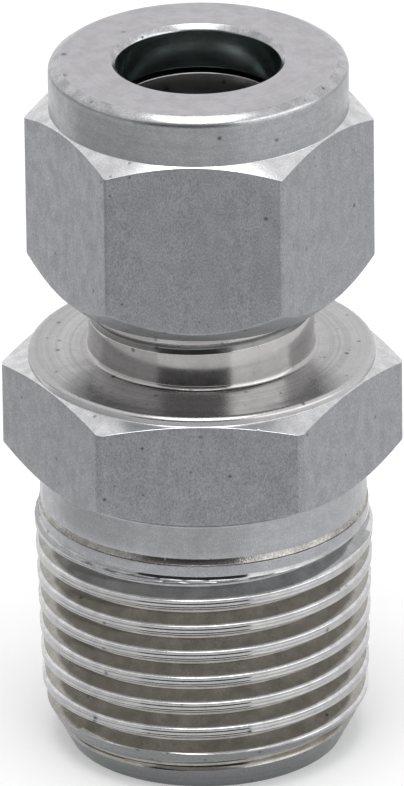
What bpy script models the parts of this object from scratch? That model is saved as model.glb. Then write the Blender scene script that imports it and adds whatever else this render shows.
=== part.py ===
"""Straight male connector of a twin ferrule tube fitting, standing on its pipe thread.

The body is turned from hexagon bar: a taper pipe thread below, a spanner hexagon, and a
threaded neck above that takes the tube. A union nut on the neck presses the rear and the
front ferrule into the cone in the mouth of the body. Lengths are in metres, and the axis
of the fitting is the Z axis, with Z = 0 at the pipe end.
"""

import math

import bmesh
import bpy
from mathutils import Matrix

MM = 0.001

# Roundness and gaps
FACETS = 48
SEAT_GAP = 0.30 * MM
FLANK_CLEARANCE = 0.09 * MM
ARC_STEPS = 5
SMOOTH_ANGLE = math.radians(28.0)

# Tube and the way through the fitting
TUBE_DIAMETER = 10.0 * MM
TUBE_CLEARANCE = 0.06 * MM
FLOW_BORE_DIAMETER = 7.9 * MM
BORE_EDGE = 0.30 * MM

# Taper pipe thread, size one half, 14 turns to the inch
PIPE_PITCH = 25.4 / 14.0 * MM
PIPE_GAUGE_DIAMETER = 20.955 * MM
PIPE_GAUGE_LENGTH = 8.2 * MM
PIPE_TAPER = 1.0 / 16.0
PIPE_FLANK_ANGLE = math.radians(27.5)
PIPE_THREAD_DEPTH = 1.03 * MM
PIPE_CREST_FLAT = 0.54 * MM
PIPE_THREAD_LENGTH = 16.15 * MM
PIPE_END_DIAMETER = 17.38 * MM
PIPE_END_ANGLE = math.radians(27.5)
PIPE_LAND_DIAMETER = 20.80 * MM
PIPE_LAND_LENGTH = 0.60 * MM
PIPE_LAND_CHAMFER = 0.15 * MM
PIPE_CREST_AT_FRONT = 13.61 * MM

# Relief groove and shank between the pipe thread and the hexagon
RELIEF_WIDTH = 0.48 * MM
RELIEF_DEPTH = 0.28 * MM
SHANK_DIAMETER = 20.64 * MM
SHANK_TOP = 18.92 * MM

# Body hexagon, collar and shoulder
BODY_ACROSS_FLATS = 22.0 * MM
BODY_CORNER_FLAT = 0.45 * MM
BODY_HEX_TOP = 26.06 * MM
BODY_TOP_CHAMFER = math.radians(20.0)
BODY_LOW_CHAMFER = math.radians(28.0)
COLLAR_INSET = 0.08 * MM
COLLAR_HEIGHT = 0.54 * MM
COLLAR_EDGE = 0.22 * MM
SHOULDER_RISE = 0.24 * MM

# Union thread between neck and nut, five eighths of an inch, 20 turns to the inch
UNION_PITCH = 25.4 / 20.0 * MM
UNION_DIAMETER = 15.875 * MM
UNION_FLANK_ANGLE = math.radians(30.0)
UNION_DEPTH = 0.613 * UNION_PITCH
UNION_CREST_FLAT = 0.13 * MM
UNION_ROOT_CLEARANCE = 0.14 * MM

# Threaded neck with the ferrule cone in its mouth
NECK_UNDERCUT = 0.06 * MM
NECK_FILLET = 0.90 * MM
NECK_LENGTH = 12.80 * MM
RELIEF_NECK_LENGTH = 4.16 * MM
MOUTH_ANGLE = math.radians(20.0)
TUBE_INSERTION = 10.30 * MM

# Ferrules
FRONT_FERRULE_WALL = 1.34 * MM
FRONT_NOSE_WALL = 0.28 * MM
FRONT_OVERHANG = 0.25 * MM
FRONT_RIM = 0.65 * MM
FRONT_BACK_WALL = 0.35 * MM
FERRULE_RECESS_DEPTH = 1.30 * MM
REAR_NOSE_WALL = 0.15 * MM
REAR_FLANGE = 0.777 * MM

# Union nut
NUT_LENGTH = 15.55 * MM
NUT_ACROSS_FLATS = 19.0 * MM
NUT_CORNER_FLAT = 0.20 * MM
NUT_HEX_TURN = math.radians(-1.4)
NUT_BASE_RIM = 0.35 * MM
NUT_LOW_CHAMFER = math.radians(41.5)
NUT_TOP_CHAMFER = math.radians(30.0)
CROWN_INSET = 0.115 * MM
CROWN_HEIGHT = 3.22 * MM
CROWN_EDGE_WIDTH = 0.67 * MM
CROWN_EDGE_HEIGHT = 0.39 * MM
NUT_BORE_CLEARANCE = 0.15 * MM
NUT_BORE_EDGE = 0.34 * MM
NUT_BORE_LAND = 2.54 * MM
NUT_SHOULDER_ANGLE = math.radians(17.2)
CAVITY_CLEARANCE = 0.50 * MM
CAVITY_DEPTH = 2.20 * MM
NUT_THREAD_TOP = 9.20 * MM

# Radii that follow from the sizes above
SOCKET_RADIUS = TUBE_DIAMETER / 2.0 + TUBE_CLEARANCE
FRONT_RADIUS = SOCKET_RADIUS + FRONT_FERRULE_WALL
MOUTH_RADIUS = FRONT_RADIUS - FRONT_OVERHANG
RECESS_RADIUS = FRONT_RADIUS - FRONT_BACK_WALL
CAVITY_RADIUS = FRONT_RADIUS + CAVITY_CLEARANCE
UNION_RADIUS = UNION_DIAMETER / 2.0
UNION_ROOT_RADIUS = UNION_RADIUS - UNION_DEPTH
NECK_RADIUS = UNION_ROOT_RADIUS - NECK_UNDERCUT
NUT_MINOR_RADIUS = UNION_ROOT_RADIUS + 1.4 * UNION_ROOT_CLEARANCE
NUT_ROOT_RADIUS = UNION_RADIUS + UNION_ROOT_CLEARANCE
NUT_BORE_RADIUS = TUBE_DIAMETER / 2.0 + NUT_BORE_CLEARANCE
CROWN_RADIUS = NUT_ACROSS_FLATS / 2.0 - CROWN_INSET
COLLAR_RADIUS = BODY_ACROSS_FLATS / 2.0 - COLLAR_INSET

# Heights that follow, from the shoulder of the body up through the ferrules to the nut
COLLAR_TOP = BODY_HEX_TOP + COLLAR_HEIGHT
NECK_TOP = COLLAR_TOP + NECK_LENGTH
NECK_THREAD_START = COLLAR_TOP + RELIEF_NECK_LENGTH
TUBE_SEAT = NECK_TOP - TUBE_INSERTION
MOUTH_SLOPE = math.tan(MOUTH_ANGLE)
MOUTH_BOTTOM = NECK_TOP - (MOUTH_RADIUS - SOCKET_RADIUS) / MOUTH_SLOPE
CONE_GAP = SEAT_GAP / math.cos(MOUTH_ANGLE)
FRONT_NOSE = MOUTH_BOTTOM + (FRONT_NOSE_WALL + CONE_GAP) / MOUTH_SLOPE
FRONT_CONE_TOP = MOUTH_BOTTOM + (FRONT_FERRULE_WALL + CONE_GAP) / MOUTH_SLOPE
FRONT_TOP = FRONT_CONE_TOP + FRONT_RIM
REAR_FLANGE_BOTTOM = FRONT_TOP + SEAT_GAP
SHOULDER_SLOPE = math.tan(NUT_SHOULDER_ANGLE)
REAR_TOP = REAR_FLANGE_BOTTOM + REAR_FLANGE + (FRONT_RADIUS - SOCKET_RADIUS) * SHOULDER_SLOPE
NUT_LAND_BOTTOM = NUT_LENGTH - NUT_BORE_EDGE - NUT_BORE_LAND
SHOULDER_GAP = SEAT_GAP / math.cos(NUT_SHOULDER_ANGLE)
NUT_BASE = REAR_TOP + SHOULDER_GAP - NUT_LAND_BOTTOM


def pipe_radius(height):
    """Radius of the taper thread over its crests at a height above the pipe end."""
    return PIPE_GAUGE_DIAMETER / 2.0 + (height - PIPE_GAUGE_LENGTH) * PIPE_TAPER / 2.0


def fillet(corner_radius, corner_height, size):
    """Points of the hollow round between a shoulder and the neck that rises from it."""
    points = []
    for step in range(ARC_STEPS + 1):
        angle = math.radians(270.0 - 90.0 * step / ARC_STEPS)
        point_radius = corner_radius + size * (1.0 + math.cos(angle))
        point_height = corner_height + size * (1.0 + math.sin(angle))
        points.append((point_radius, point_height))
    return points


def clear_scene():
    """Start from an empty scene."""
    for item in list(bpy.data.objects):
        bpy.data.objects.remove(item, do_unlink=True)


def make_material(name, colour, roughness, metallic):
    """A plain metal finish for one piece."""
    material = bpy.data.materials.new(name)
    material.use_nodes = True
    shader = material.node_tree.nodes["Principled BSDF"]
    shader.inputs["Base Color"].default_value = (*colour, 1.0)
    shader.inputs["Roughness"].default_value = roughness
    shader.inputs["Metallic"].default_value = metallic
    return material


def add_object(name, mesh_builder, height):
    """Put a finished mesh on the axis of the fitting at a height."""
    bmesh.ops.recalc_face_normals(mesh_builder, faces=mesh_builder.faces)
    mesh = bpy.data.meshes.new(name)
    mesh_builder.to_mesh(mesh)
    mesh_builder.free()
    item = bpy.data.objects.new(name, mesh)
    item.location = (0.0, 0.0, height)
    bpy.context.scene.collection.objects.link(item)
    return item


def turned_piece(name, outline, height):
    """Turn a closed outline of (radius, height) points about the axis."""
    builder = bmesh.new()
    rim = [builder.verts.new((radius, 0.0, level)) for radius, level in outline]
    edges = [builder.edges.new((rim[i - 1], rim[i])) for i in range(len(rim))]
    bmesh.ops.spin(
        builder,
        geom=rim + edges,
        cent=(0.0, 0.0, 0.0),
        axis=(0.0, 0.0, 1.0),
        angle=math.tau,
        steps=FACETS,
        use_merge=True,
    )
    bmesh.ops.remove_doubles(builder, verts=builder.verts, dist=0.001 * MM)
    return add_object(name, builder, height)


def hexagon_bar(name, across_flats, corner_flat, bottom, top, turn):
    """Hexagon bar with blunt corners, corners on the X axis before it is turned."""
    builder = bmesh.new()
    bmesh.ops.create_circle(
        builder,
        cap_ends=True,
        segments=6,
        radius=across_flats / math.sqrt(3.0),
    )
    floor = list(builder.faces)
    bmesh.ops.translate(builder, verts=builder.verts, vec=(0.0, 0.0, bottom))
    raised = bmesh.ops.extrude_face_region(builder, geom=floor, use_keep_orig=True)
    ceiling = [part for part in raised["geom"] if isinstance(part, bmesh.types.BMVert)]
    bmesh.ops.translate(builder, verts=ceiling, vec=(0.0, 0.0, top - bottom))
    to_corner = Matrix.Rotation(turn + math.pi / 6.0, 3, "Z")
    bmesh.ops.rotate(builder, verts=builder.verts, cent=(0.0, 0.0, 0.0), matrix=to_corner)
    upright = [edge for edge in builder.edges if edge.verts[0].co.z != edge.verts[1].co.z]
    bmesh.ops.bevel(
        builder,
        geom=upright,
        offset=corner_flat,
        offset_type="WIDTH",
        segments=1,
        affect="EDGES",
    )
    return add_object(name, builder, 0.0)


def thread_coil(name, pitch, first_height, turns, section_at, height):
    """Closed coil with a changing cross-section, used to cut one thread groove.

    The coil rises by the pitch in each turn to the left seen from above, which makes a
    right-hand thread. section_at gives the (radius, level) points of the cross-section
    for a centre level and for the turns that are still to come.
    """
    builder = bmesh.new()
    rings = []
    steps = round(turns * FACETS)
    for step in range(steps + 1):
        angle = step * math.tau / FACETS
        centre = first_height + pitch * step / FACETS
        turns_left = (steps - step) / FACETS
        ring = []
        for radius, level in section_at(centre, turns_left):
            place = (radius * math.cos(angle), radius * math.sin(angle), level)
            ring.append(builder.verts.new(place))
        rings.append(ring)
    for lower, upper in zip(rings[:-1], rings[1:]):
        for side in range(len(lower)):
            corners = (lower[side - 1], lower[side], upper[side], upper[side - 1])
            builder.faces.new(corners)
    builder.faces.new(rings[0])
    builder.faces.new(rings[-1])
    return add_object(name, builder, height)


def groove_section(root_radius, opening_radius, margin_radius, half_root, flank_angle, level):
    """Outline of one thread groove, from its root to past the surface that it opens on."""
    reach = abs(opening_radius - root_radius)
    half_opening = half_root + reach * math.tan(flank_angle)
    return [
        (root_radius, level - half_root),
        (opening_radius, level - half_opening),
        (margin_radius, level - half_opening),
        (margin_radius, level + half_opening),
        (opening_radius, level + half_opening),
        (root_radius, level + half_root),
    ]


def carve(piece, tool, operation):
    """Cut a piece with a tool solid, or keep only what the two share."""
    step = piece.modifiers.new(tool.name, "BOOLEAN")
    step.object = tool
    step.operation = operation
    step.solver = "EXACT"
    tool.hide_render = True
    tool.display_type = "WIRE"


def settle(piece, tools, material):
    """Fix the cuts in the mesh, put the tools away and shade the round faces smooth."""
    bpy.context.view_layer.update()
    view = bpy.context.evaluated_depsgraph_get()
    cut_mesh = bpy.data.meshes.new_from_object(piece.evaluated_get(view))
    cut_mesh.name = piece.name
    piece.modifiers.clear()
    piece.data = cut_mesh
    cut_mesh.shade_smooth()
    cut_mesh.set_sharp_from_angle(angle=SMOOTH_ANGLE)
    cut_mesh.materials.clear()
    cut_mesh.materials.append(material)
    for tool in tools:
        bpy.data.objects.remove(tool, do_unlink=True)


def body_outline():
    """Turned outline of the body with its bores, before the hexagon and threads are cut."""
    bar_radius = BODY_ACROSS_FLATS / math.sqrt(3.0) + 0.5 * MM
    shank = SHANK_DIAMETER / 2.0
    flow = FLOW_BORE_DIAMETER / 2.0
    end = PIPE_END_DIAMETER / 2.0
    end_slope = math.tan(PIPE_END_ANGLE)
    end_rise = (pipe_radius(0.0) - end) / (end_slope - PIPE_TAPER / 2.0)
    land = PIPE_LAND_DIAMETER / 2.0
    land_start = PIPE_THREAD_LENGTH - PIPE_LAND_LENGTH
    last_crest = land_start - PIPE_LAND_CHAMFER
    relief_floor = shank - RELIEF_DEPTH
    low_rise = (bar_radius - shank) * math.tan(BODY_LOW_CHAMFER)
    top_drop = (bar_radius - COLLAR_RADIUS) * math.tan(BODY_TOP_CHAMFER)
    thread_step = UNION_RADIUS - NECK_RADIUS
    outline = [
        (flow + BORE_EDGE, 0.0),
        (end, 0.0),
        (pipe_radius(end_rise), end_rise),
        (pipe_radius(last_crest), last_crest),
        (land, land_start),
        (land, PIPE_THREAD_LENGTH),
        (relief_floor, PIPE_THREAD_LENGTH + 0.25 * RELIEF_WIDTH),
        (relief_floor, PIPE_THREAD_LENGTH + 0.70 * RELIEF_WIDTH),
        (shank, PIPE_THREAD_LENGTH + RELIEF_WIDTH),
        (shank, SHANK_TOP),
        (bar_radius, SHANK_TOP + low_rise),
        (bar_radius, BODY_HEX_TOP - top_drop),
        (COLLAR_RADIUS, BODY_HEX_TOP),
        (COLLAR_RADIUS, COLLAR_TOP - COLLAR_EDGE),
        (COLLAR_RADIUS - COLLAR_EDGE, COLLAR_TOP),
    ]
    outline += fillet(NECK_RADIUS, COLLAR_TOP + SHOULDER_RISE, NECK_FILLET)
    outline += [
        (NECK_RADIUS, NECK_THREAD_START),
        (UNION_RADIUS, NECK_THREAD_START + thread_step),
        (UNION_RADIUS, NECK_TOP - thread_step),
        (NECK_RADIUS, NECK_TOP),
        (MOUTH_RADIUS, NECK_TOP),
        (SOCKET_RADIUS, MOUTH_BOTTOM),
        (SOCKET_RADIUS, TUBE_SEAT),
        (flow, TUBE_SEAT),
        (flow, BORE_EDGE),
    ]
    return outline


def build_body(material):
    """Body with its hexagon, pipe thread and union thread."""
    body = turned_piece("connector_body", body_outline(), 0.0)
    bar = hexagon_bar(
        "body_bar",
        BODY_ACROSS_FLATS,
        BODY_CORNER_FLAT,
        -1.0 * MM,
        NECK_TOP + 1.0 * MM,
        0.0,
    )
    pipe_groove_half = (PIPE_PITCH - PIPE_CREST_FLAT) / 2.0
    half_root = pipe_groove_half - PIPE_THREAD_DEPTH * math.tan(PIPE_FLANK_ANGLE)
    front_turns = 0.75
    groove_at_front = PIPE_CREST_AT_FRONT + PIPE_PITCH / 2.0
    last_turn_end = 0.50
    turns_below = math.ceil((groove_at_front + PIPE_PITCH) / PIPE_PITCH)
    pipe_start = groove_at_front - (turns_below + front_turns) * PIPE_PITCH

    def pipe_section(centre, turns_left):
        """Groove of the taper thread, which the tool leaves over its last third of a turn."""
        withdrawn = max(0.0, 1.0 - turns_left / 0.34) * (PIPE_THREAD_DEPTH + 0.1 * MM)
        root = pipe_radius(centre) - PIPE_THREAD_DEPTH + withdrawn
        opening = pipe_radius(centre) + withdrawn + 0.05 * MM
        return groove_section(
            root, opening, opening + 0.6 * MM, half_root, PIPE_FLANK_ANGLE, centre
        )

    pipe_turns = turns_below + front_turns + last_turn_end
    pipe_coil = thread_coil(
        "pipe_thread_groove", PIPE_PITCH, pipe_start, pipe_turns, pipe_section, 0.0
    )
    groove_half = (UNION_PITCH - UNION_CREST_FLAT) / 2.0
    union_half_root = groove_half - UNION_DEPTH * math.tan(UNION_FLANK_ANGLE)

    def union_section(centre, turns_left):
        """Groove of the union thread on the neck, open at both of its ends."""
        return groove_section(
            UNION_ROOT_RADIUS,
            UNION_RADIUS + 0.02 * MM,
            UNION_RADIUS + 0.5 * MM,
            union_half_root,
            UNION_FLANK_ANGLE,
            centre,
        )

    union_turns = math.ceil((NECK_TOP - NECK_THREAD_START) / UNION_PITCH) + 2
    union_coil = thread_coil(
        "union_thread_groove",
        UNION_PITCH,
        NECK_THREAD_START - UNION_PITCH,
        union_turns,
        union_section,
        0.0,
    )
    carve(body, bar, "INTERSECT")
    carve(body, pipe_coil, "DIFFERENCE")
    carve(body, union_coil, "DIFFERENCE")
    settle(body, [bar, pipe_coil, union_coil], material)
    return body


def nut_outline():
    """Turned outline of the nut above its own base, before its flats and thread are cut."""
    bar_radius = NUT_ACROSS_FLATS / math.sqrt(3.0) + 0.5 * MM
    entry = NUT_ROOT_RADIUS
    base = entry + NUT_BASE_RIM
    crown_base = NUT_LENGTH - CROWN_HEIGHT
    low_rise = (bar_radius - base) * math.tan(NUT_LOW_CHAMFER)
    top_drop = (bar_radius - CROWN_RADIUS) * math.tan(NUT_TOP_CHAMFER)
    shoulder_bottom = NUT_LAND_BOTTOM - (CAVITY_RADIUS - NUT_BORE_RADIUS) * SHOULDER_SLOPE
    cavity_bottom = shoulder_bottom - CAVITY_DEPTH
    outline = [
        (entry, 0.0),
        (base, 0.0),
        (bar_radius, low_rise),
        (bar_radius, crown_base - top_drop),
        (CROWN_RADIUS, crown_base),
        (CROWN_RADIUS, NUT_LENGTH - CROWN_EDGE_HEIGHT),
        (CROWN_RADIUS - CROWN_EDGE_WIDTH, NUT_LENGTH),
        (NUT_BORE_RADIUS + NUT_BORE_EDGE, NUT_LENGTH),
        (NUT_BORE_RADIUS, NUT_LENGTH - NUT_BORE_EDGE),
        (NUT_BORE_RADIUS, NUT_LAND_BOTTOM),
        (CAVITY_RADIUS, shoulder_bottom),
        (CAVITY_RADIUS, cavity_bottom),
        (NUT_MINOR_RADIUS, cavity_bottom - abs(NUT_MINOR_RADIUS - CAVITY_RADIUS)),
        (NUT_MINOR_RADIUS, entry - NUT_MINOR_RADIUS),
    ]
    return outline


def build_nut(material):
    """Union nut with its hexagon, plain crown and inner thread."""
    nut = turned_piece("tube_nut", nut_outline(), NUT_BASE)
    bar = hexagon_bar(
        "nut_bar",
        NUT_ACROSS_FLATS,
        NUT_CORNER_FLAT,
        NUT_BASE - 1.0 * MM,
        NUT_BASE + NUT_LENGTH + 1.0 * MM,
        NUT_HEX_TURN,
    )
    ridge_half = UNION_CREST_FLAT / 2.0 + FLANK_CLEARANCE
    root_reach = NUT_ROOT_RADIUS - UNION_RADIUS
    half_root = max(0.02 * MM, ridge_half - root_reach * math.tan(UNION_FLANK_ANGLE))
    ridge_at_start = NECK_THREAD_START - UNION_PITCH / 2.0 - NUT_BASE
    turns_below = math.ceil((ridge_at_start + UNION_PITCH) / UNION_PITCH)
    start = ridge_at_start - turns_below * UNION_PITCH
    turns = round((NUT_THREAD_TOP - start) / UNION_PITCH * FACETS) / FACETS

    def nut_section(centre, turns_left):
        """Groove of the nut thread, which the tap leaves over its last half turn."""
        fade = max(0.0, 1.0 - turns_left / 0.5) * (NUT_ROOT_RADIUS - NUT_MINOR_RADIUS + 0.1 * MM)
        root = NUT_ROOT_RADIUS - fade
        opening = NUT_MINOR_RADIUS - 0.04 * MM - fade
        return groove_section(
            root, opening, opening - 0.4 * MM, half_root, UNION_FLANK_ANGLE, centre
        )

    coil = thread_coil("nut_thread_groove", UNION_PITCH, start, turns, nut_section, NUT_BASE)
    carve(nut, bar, "INTERSECT")
    carve(nut, coil, "DIFFERENCE")
    settle(nut, [bar, coil], material)
    return nut


def build_front_ferrule(material):
    """Long cone that seals in the mouth of the body, with a recess for the rear ferrule."""
    outline = [
        (SOCKET_RADIUS, FRONT_NOSE),
        (SOCKET_RADIUS + FRONT_NOSE_WALL, FRONT_NOSE),
        (FRONT_RADIUS, FRONT_CONE_TOP),
        (FRONT_RADIUS, FRONT_TOP),
        (RECESS_RADIUS, FRONT_TOP),
        (SOCKET_RADIUS, FRONT_TOP - FERRULE_RECESS_DEPTH),
    ]
    lowered = [(radius, level - FRONT_NOSE) for radius, level in outline]
    ferrule = turned_piece("front_ferrule", lowered, FRONT_NOSE)
    settle(ferrule, [], material)
    return ferrule


def build_rear_ferrule(material):
    """Short flanged ring between the front ferrule and the nut."""
    recess_slope = (RECESS_RADIUS - SOCKET_RADIUS) / FERRULE_RECESS_DEPTH
    recess_gap = SEAT_GAP * math.hypot(1.0, recess_slope)
    nose_rise = (REAR_NOSE_WALL + recess_gap) / recess_slope
    nose = FRONT_TOP - FERRULE_RECESS_DEPTH + nose_rise
    outline = [
        (SOCKET_RADIUS, nose),
        (SOCKET_RADIUS + REAR_NOSE_WALL, nose),
        (RECESS_RADIUS - recess_gap, FRONT_TOP),
        (RECESS_RADIUS - recess_gap, REAR_FLANGE_BOTTOM),
        (FRONT_RADIUS, REAR_FLANGE_BOTTOM),
        (FRONT_RADIUS, REAR_FLANGE_BOTTOM + REAR_FLANGE),
        (SOCKET_RADIUS, REAR_TOP),
    ]
    lowered = [(radius, level - nose) for radius, level in outline]
    ferrule = turned_piece("rear_ferrule", lowered, nose)
    settle(ferrule, [], material)
    return ferrule


def main():
    """Build the four pieces of the connector."""
    clear_scene()
    satin_steel = make_material("satin_steel", (0.42, 0.42, 0.43), 0.38, 1.0)
    turned_steel = make_material("turned_steel", (0.45, 0.45, 0.45), 0.25, 1.0)
    build_body(satin_steel)
    build_nut(satin_steel)
    build_front_ferrule(turned_steel)
    build_rear_ferrule(turned_steel)


main()
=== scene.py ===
"""Looks of a straight male tube fitting: steel body, union nut and the two ferrules inside.

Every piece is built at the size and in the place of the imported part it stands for. The
threads are helical coils made by one Geometry Nodes tree, the hexagons and all turned
shapes are lathe grids, and the steel is procedural. All lengths are in metres, and the
axis of the fitting is the Z axis.
"""

import logging  # noqa: E402
import math  # noqa: E402
from dataclasses import dataclass, field  # noqa: E402
from enum import Enum  # noqa: E402
from typing import ClassVar  # noqa: E402

import bmesh  # noqa: E402
import bpy  # noqa: E402
from mathutils import Matrix, Vector  # noqa: E402


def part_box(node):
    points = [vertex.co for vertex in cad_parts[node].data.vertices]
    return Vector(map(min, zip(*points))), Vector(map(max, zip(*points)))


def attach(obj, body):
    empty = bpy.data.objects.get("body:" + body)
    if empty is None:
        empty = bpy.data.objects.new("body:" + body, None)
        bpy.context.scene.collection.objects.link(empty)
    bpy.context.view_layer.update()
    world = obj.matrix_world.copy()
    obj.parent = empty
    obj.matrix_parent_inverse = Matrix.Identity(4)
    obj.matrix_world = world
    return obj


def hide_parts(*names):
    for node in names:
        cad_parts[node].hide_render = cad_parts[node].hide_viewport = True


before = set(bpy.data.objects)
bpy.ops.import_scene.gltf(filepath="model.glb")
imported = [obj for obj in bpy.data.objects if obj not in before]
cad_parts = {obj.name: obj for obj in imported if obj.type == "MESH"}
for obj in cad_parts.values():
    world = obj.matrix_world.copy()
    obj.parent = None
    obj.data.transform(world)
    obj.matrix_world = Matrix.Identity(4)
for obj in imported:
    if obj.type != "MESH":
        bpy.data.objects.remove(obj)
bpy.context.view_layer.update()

log = logging.getLogger("tube_fitting")

MM = 0.001

# Columns of every skin round the axis, and the part of them that one side of a hexagon gets
COLUMNS = 192
SECTOR = COLUMNS // 6

# Segments of a rounded edge, and rows over which columns gather at a hexagon's corners
ARC_STEPS = 4
GATHER_ROWS = 6

# Distance under which points are merged, and width under which a sliver is taken out
WELD = 0.0006 * MM
SLIVER = 0.0003 * MM

# Forms that pieces share, so that one fits into the other
PIPE_PITCH = 25.4 / 14.0 * MM
PIPE_TAPER = 1.0 / 32.0
PIPE_ANGLE = math.radians(27.5)
UNION_PITCH = 25.4 / 20.0 * MM
UNION_ANGLE = math.radians(30.0)
UNION_START = 30.76 * MM
SOCKET_RADIUS = 5.06 * MM
MOUTH_ANGLE = math.radians(20.0)
NUT_CONE_ANGLE = math.radians(17.2)

Point = tuple[float, float]
Place = tuple[float, float, float]
Node = bpy.types.Node
Tree = bpy.types.NodeTree
Socket = bpy.types.NodeSocket
Value = Socket | float


class Side(Enum):
    """Which side of a wall a thread is cut on."""

    OUTER = 1.0
    INNER = -1.0


class Zone(Enum):
    """Surfaces of the fitting that are finished in their own ways."""

    FLAT = 0
    CROWN = 1
    FACE = 2
    EDGE = 3
    SHOULDER = 4
    NECK = 5
    SHANK = 6
    RELIEF = 7
    THREAD = 8
    # END: its darker colour is painted shade near the floor
    END = 9
    BORE = 10
    RING = 11
    CREST = 12
    SKIRT = 13
    # LIP: burnished, with a brighter colour that is partly a painted highlight
    LIP = 14
    # RUNOUT: its darker colour is painted shade under the nut
    RUNOUT = 15


# Outlines and grids


@dataclass
class Outline:
    """A polyline in the turning plane whose corners can be rounded.

    Attributes:
        zone: Finish of what is added next.
        points: (radius, height, round) of each corner, in metres.
        zones: Finish of the band that follows each corner.
    """

    ROUND_LIMIT: ClassVar[float] = 0.45

    zone: Zone
    points: list[tuple[float, float, float]] = field(default_factory=list)
    zones: list[Zone] = field(default_factory=list)

    def add(
        self, radius: float, height: float, edge: float = 0.0, zone: Zone | None = None
    ) -> None:
        """Add a corner.

        Args:
            radius: Distance from the axis.
            height: Height above the pipe end.
            edge: Radius of the rounding at this corner.
            zone: Finish from here on, where it changes.
        """
        self.zone = zone or self.zone
        self.points.append((radius, height, edge))
        self.zones.append(self.zone)

    def bands(self, steps: int = ARC_STEPS) -> list[Zone]:
        """Finish of the band after each point of the rounded outline.

        Args:
            steps: Number of segments of each arc.

        Returns:
            One finish for each point that rounded() gives.
        """
        result: list[Zone] = []
        last = len(self.points) - 1
        for index, ((_, _, edge), zone) in enumerate(zip(self.points, self.zones)):
            if edge > 0.0 and index not in (0, last):
                before = self.zones[index - 1]
                result += [before] * (steps // 2) + [zone] * (steps - steps // 2)
            result.append(zone)
        return result

    def rounded(self, steps: int = ARC_STEPS) -> list[Point]:
        """Points of the outline with an arc at each corner that asks for one.

        Args:
            steps: Number of segments of each arc.

        Returns:
            The (radius, height) points in order. Their number depends only on which
            corners are rounded, never on the sizes.
        """
        result: list[Point] = []
        last = len(self.points) - 1
        for index, (radius, height, edge) in enumerate(self.points):
            if edge <= 0.0 or index in (0, last):
                result.append((radius, height))
                continue
            here = Vector((radius, height))
            back = Vector(self.points[index - 1][:2]) - here
            ahead = Vector(self.points[index + 1][:2]) - here
            reach = min(edge, self.ROUND_LIMIT * back.length, self.ROUND_LIMIT * ahead.length)
            start = here + back.normalized() * reach
            end = here + ahead.normalized() * reach
            for step in range(steps + 1):
                share = step / steps
                place = (
                    start * (1.0 - share) ** 2
                    + here * 2.0 * share * (1.0 - share)
                    + end * share**2
                )
                result.append((place.x, place.y))
        return result


@dataclass(frozen=True)
class HexagonBar:
    """Cross-section of hexagon bar with blunt corners.

    Attributes:
        across_flats: Width over two opposite flats.
        corner_flat: Width of the flat left on each corner.
        turn: Angle of the first corner from the X axis.
    """

    CORNER_STEPS: ClassVar[tuple[float, ...]] = (0.0, 0.62, 0.90, 1.0, 1.10, 1.38, 2.1, 3.2)
    CORNER_BLEND: ClassVar[float] = 0.05 * MM

    across_flats: float
    corner_flat: float
    turn: float = 0.0

    def angles(self) -> list[float]:
        """Column angles of a row on the bar, the first one on a corner.

        Returns:
            The angles, with the columns close together at the corners.
        """
        half = math.degrees(self.corner_flat / self.across_flats * math.cos(math.pi / 6.0))
        offsets = [share * half for share in self.CORNER_STEPS]
        inner = SECTOR // 2 - len(offsets) + 1
        start = offsets[-1]
        for step in range(1, inner + 1):
            offsets.append(start + (30.0 - start) * step / inner)
        sector = offsets + [60.0 - value for value in reversed(offsets[1:-1])]
        return [
            math.radians(60.0 * corner + value) + self.turn
            for corner in range(6)
            for value in sector
        ]

    def radius(self, angle: float) -> float:
        """Distance from the axis to the bar's surface in a direction.

        Args:
            angle: Direction about the axis, from the X axis.

        Returns:
            The distance, in metres.
        """
        apothem = self.across_flats / 2.0
        third = math.pi / 3.0
        from_corner = (angle - self.turn + third / 2.0) % third - third / 2.0
        to_flat = third / 2.0 - abs(from_corner)
        flat = apothem / math.cos(to_flat)
        corner_reach = apothem / math.cos(third / 2.0)
        corner_reach -= self.corner_flat / 2.0 * math.tan(third / 2.0)
        corner = corner_reach / math.cos(from_corner)
        blend = max(self.CORNER_BLEND - abs(flat - corner), 0.0) / self.CORNER_BLEND
        return min(flat, corner) - blend * blend * self.CORNER_BLEND / 4.0


@dataclass
class LatheGrid:
    """Closed or open skin of quads in columns about the axis.

    Attributes:
        turn: Angle of the first column of the round rows.
    """

    turn: float = 0.0

    def even(self) -> list[float]:
        """Evenly spread column angles."""
        return [self.turn + math.tau * column / COLUMNS for column in range(COLUMNS)]

    def build(self, rows: list[list[Vector]], zones: list[Zone]) -> bmesh.types.BMesh:
        """Join rows of points, one for each column, into a skin.

        Args:
            rows: Rows from the first to the last, each with one point for each column.
            zones: Finish of the band that follows each row.

        Returns:
            A new mesh builder.
        """
        builder = bmesh.new()
        rings = [[builder.verts.new(place) for place in row] for row in rows]
        for lower, upper, zone in zip(rings[:-1], rings[1:], zones):
            for column in range(COLUMNS):
                quad = builder.faces.new(
                    (lower[column - 1], lower[column], upper[column], upper[column - 1])
                )
                quad.material_index = zone.value
        return builder

    def rows(self, profiles: list[list[Point]], angles: list[list[float]]) -> list[list[Vector]]:
        """Place profile points about the axis.

        Args:
            profiles: For each row, the (radius, height) of each column.
            angles: For each row, the angle of each column.

        Returns:
            The rows of points.
        """
        return [
            [
                Vector((radius * math.cos(angle), radius * math.sin(angle), height))
                for (radius, height), angle in zip(profile, row_angles)
            ]
            for profile, row_angles in zip(profiles, angles)
        ]


def round_rows(outline: list[Point]) -> list[list[Point]]:
    """Rows of a plain turned shape, the same in every column.

    Args:
        outline: (radius, height) points in order.

    Returns:
        One row for each point.
    """
    return [[point] * COLUMNS for point in outline]


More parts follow.
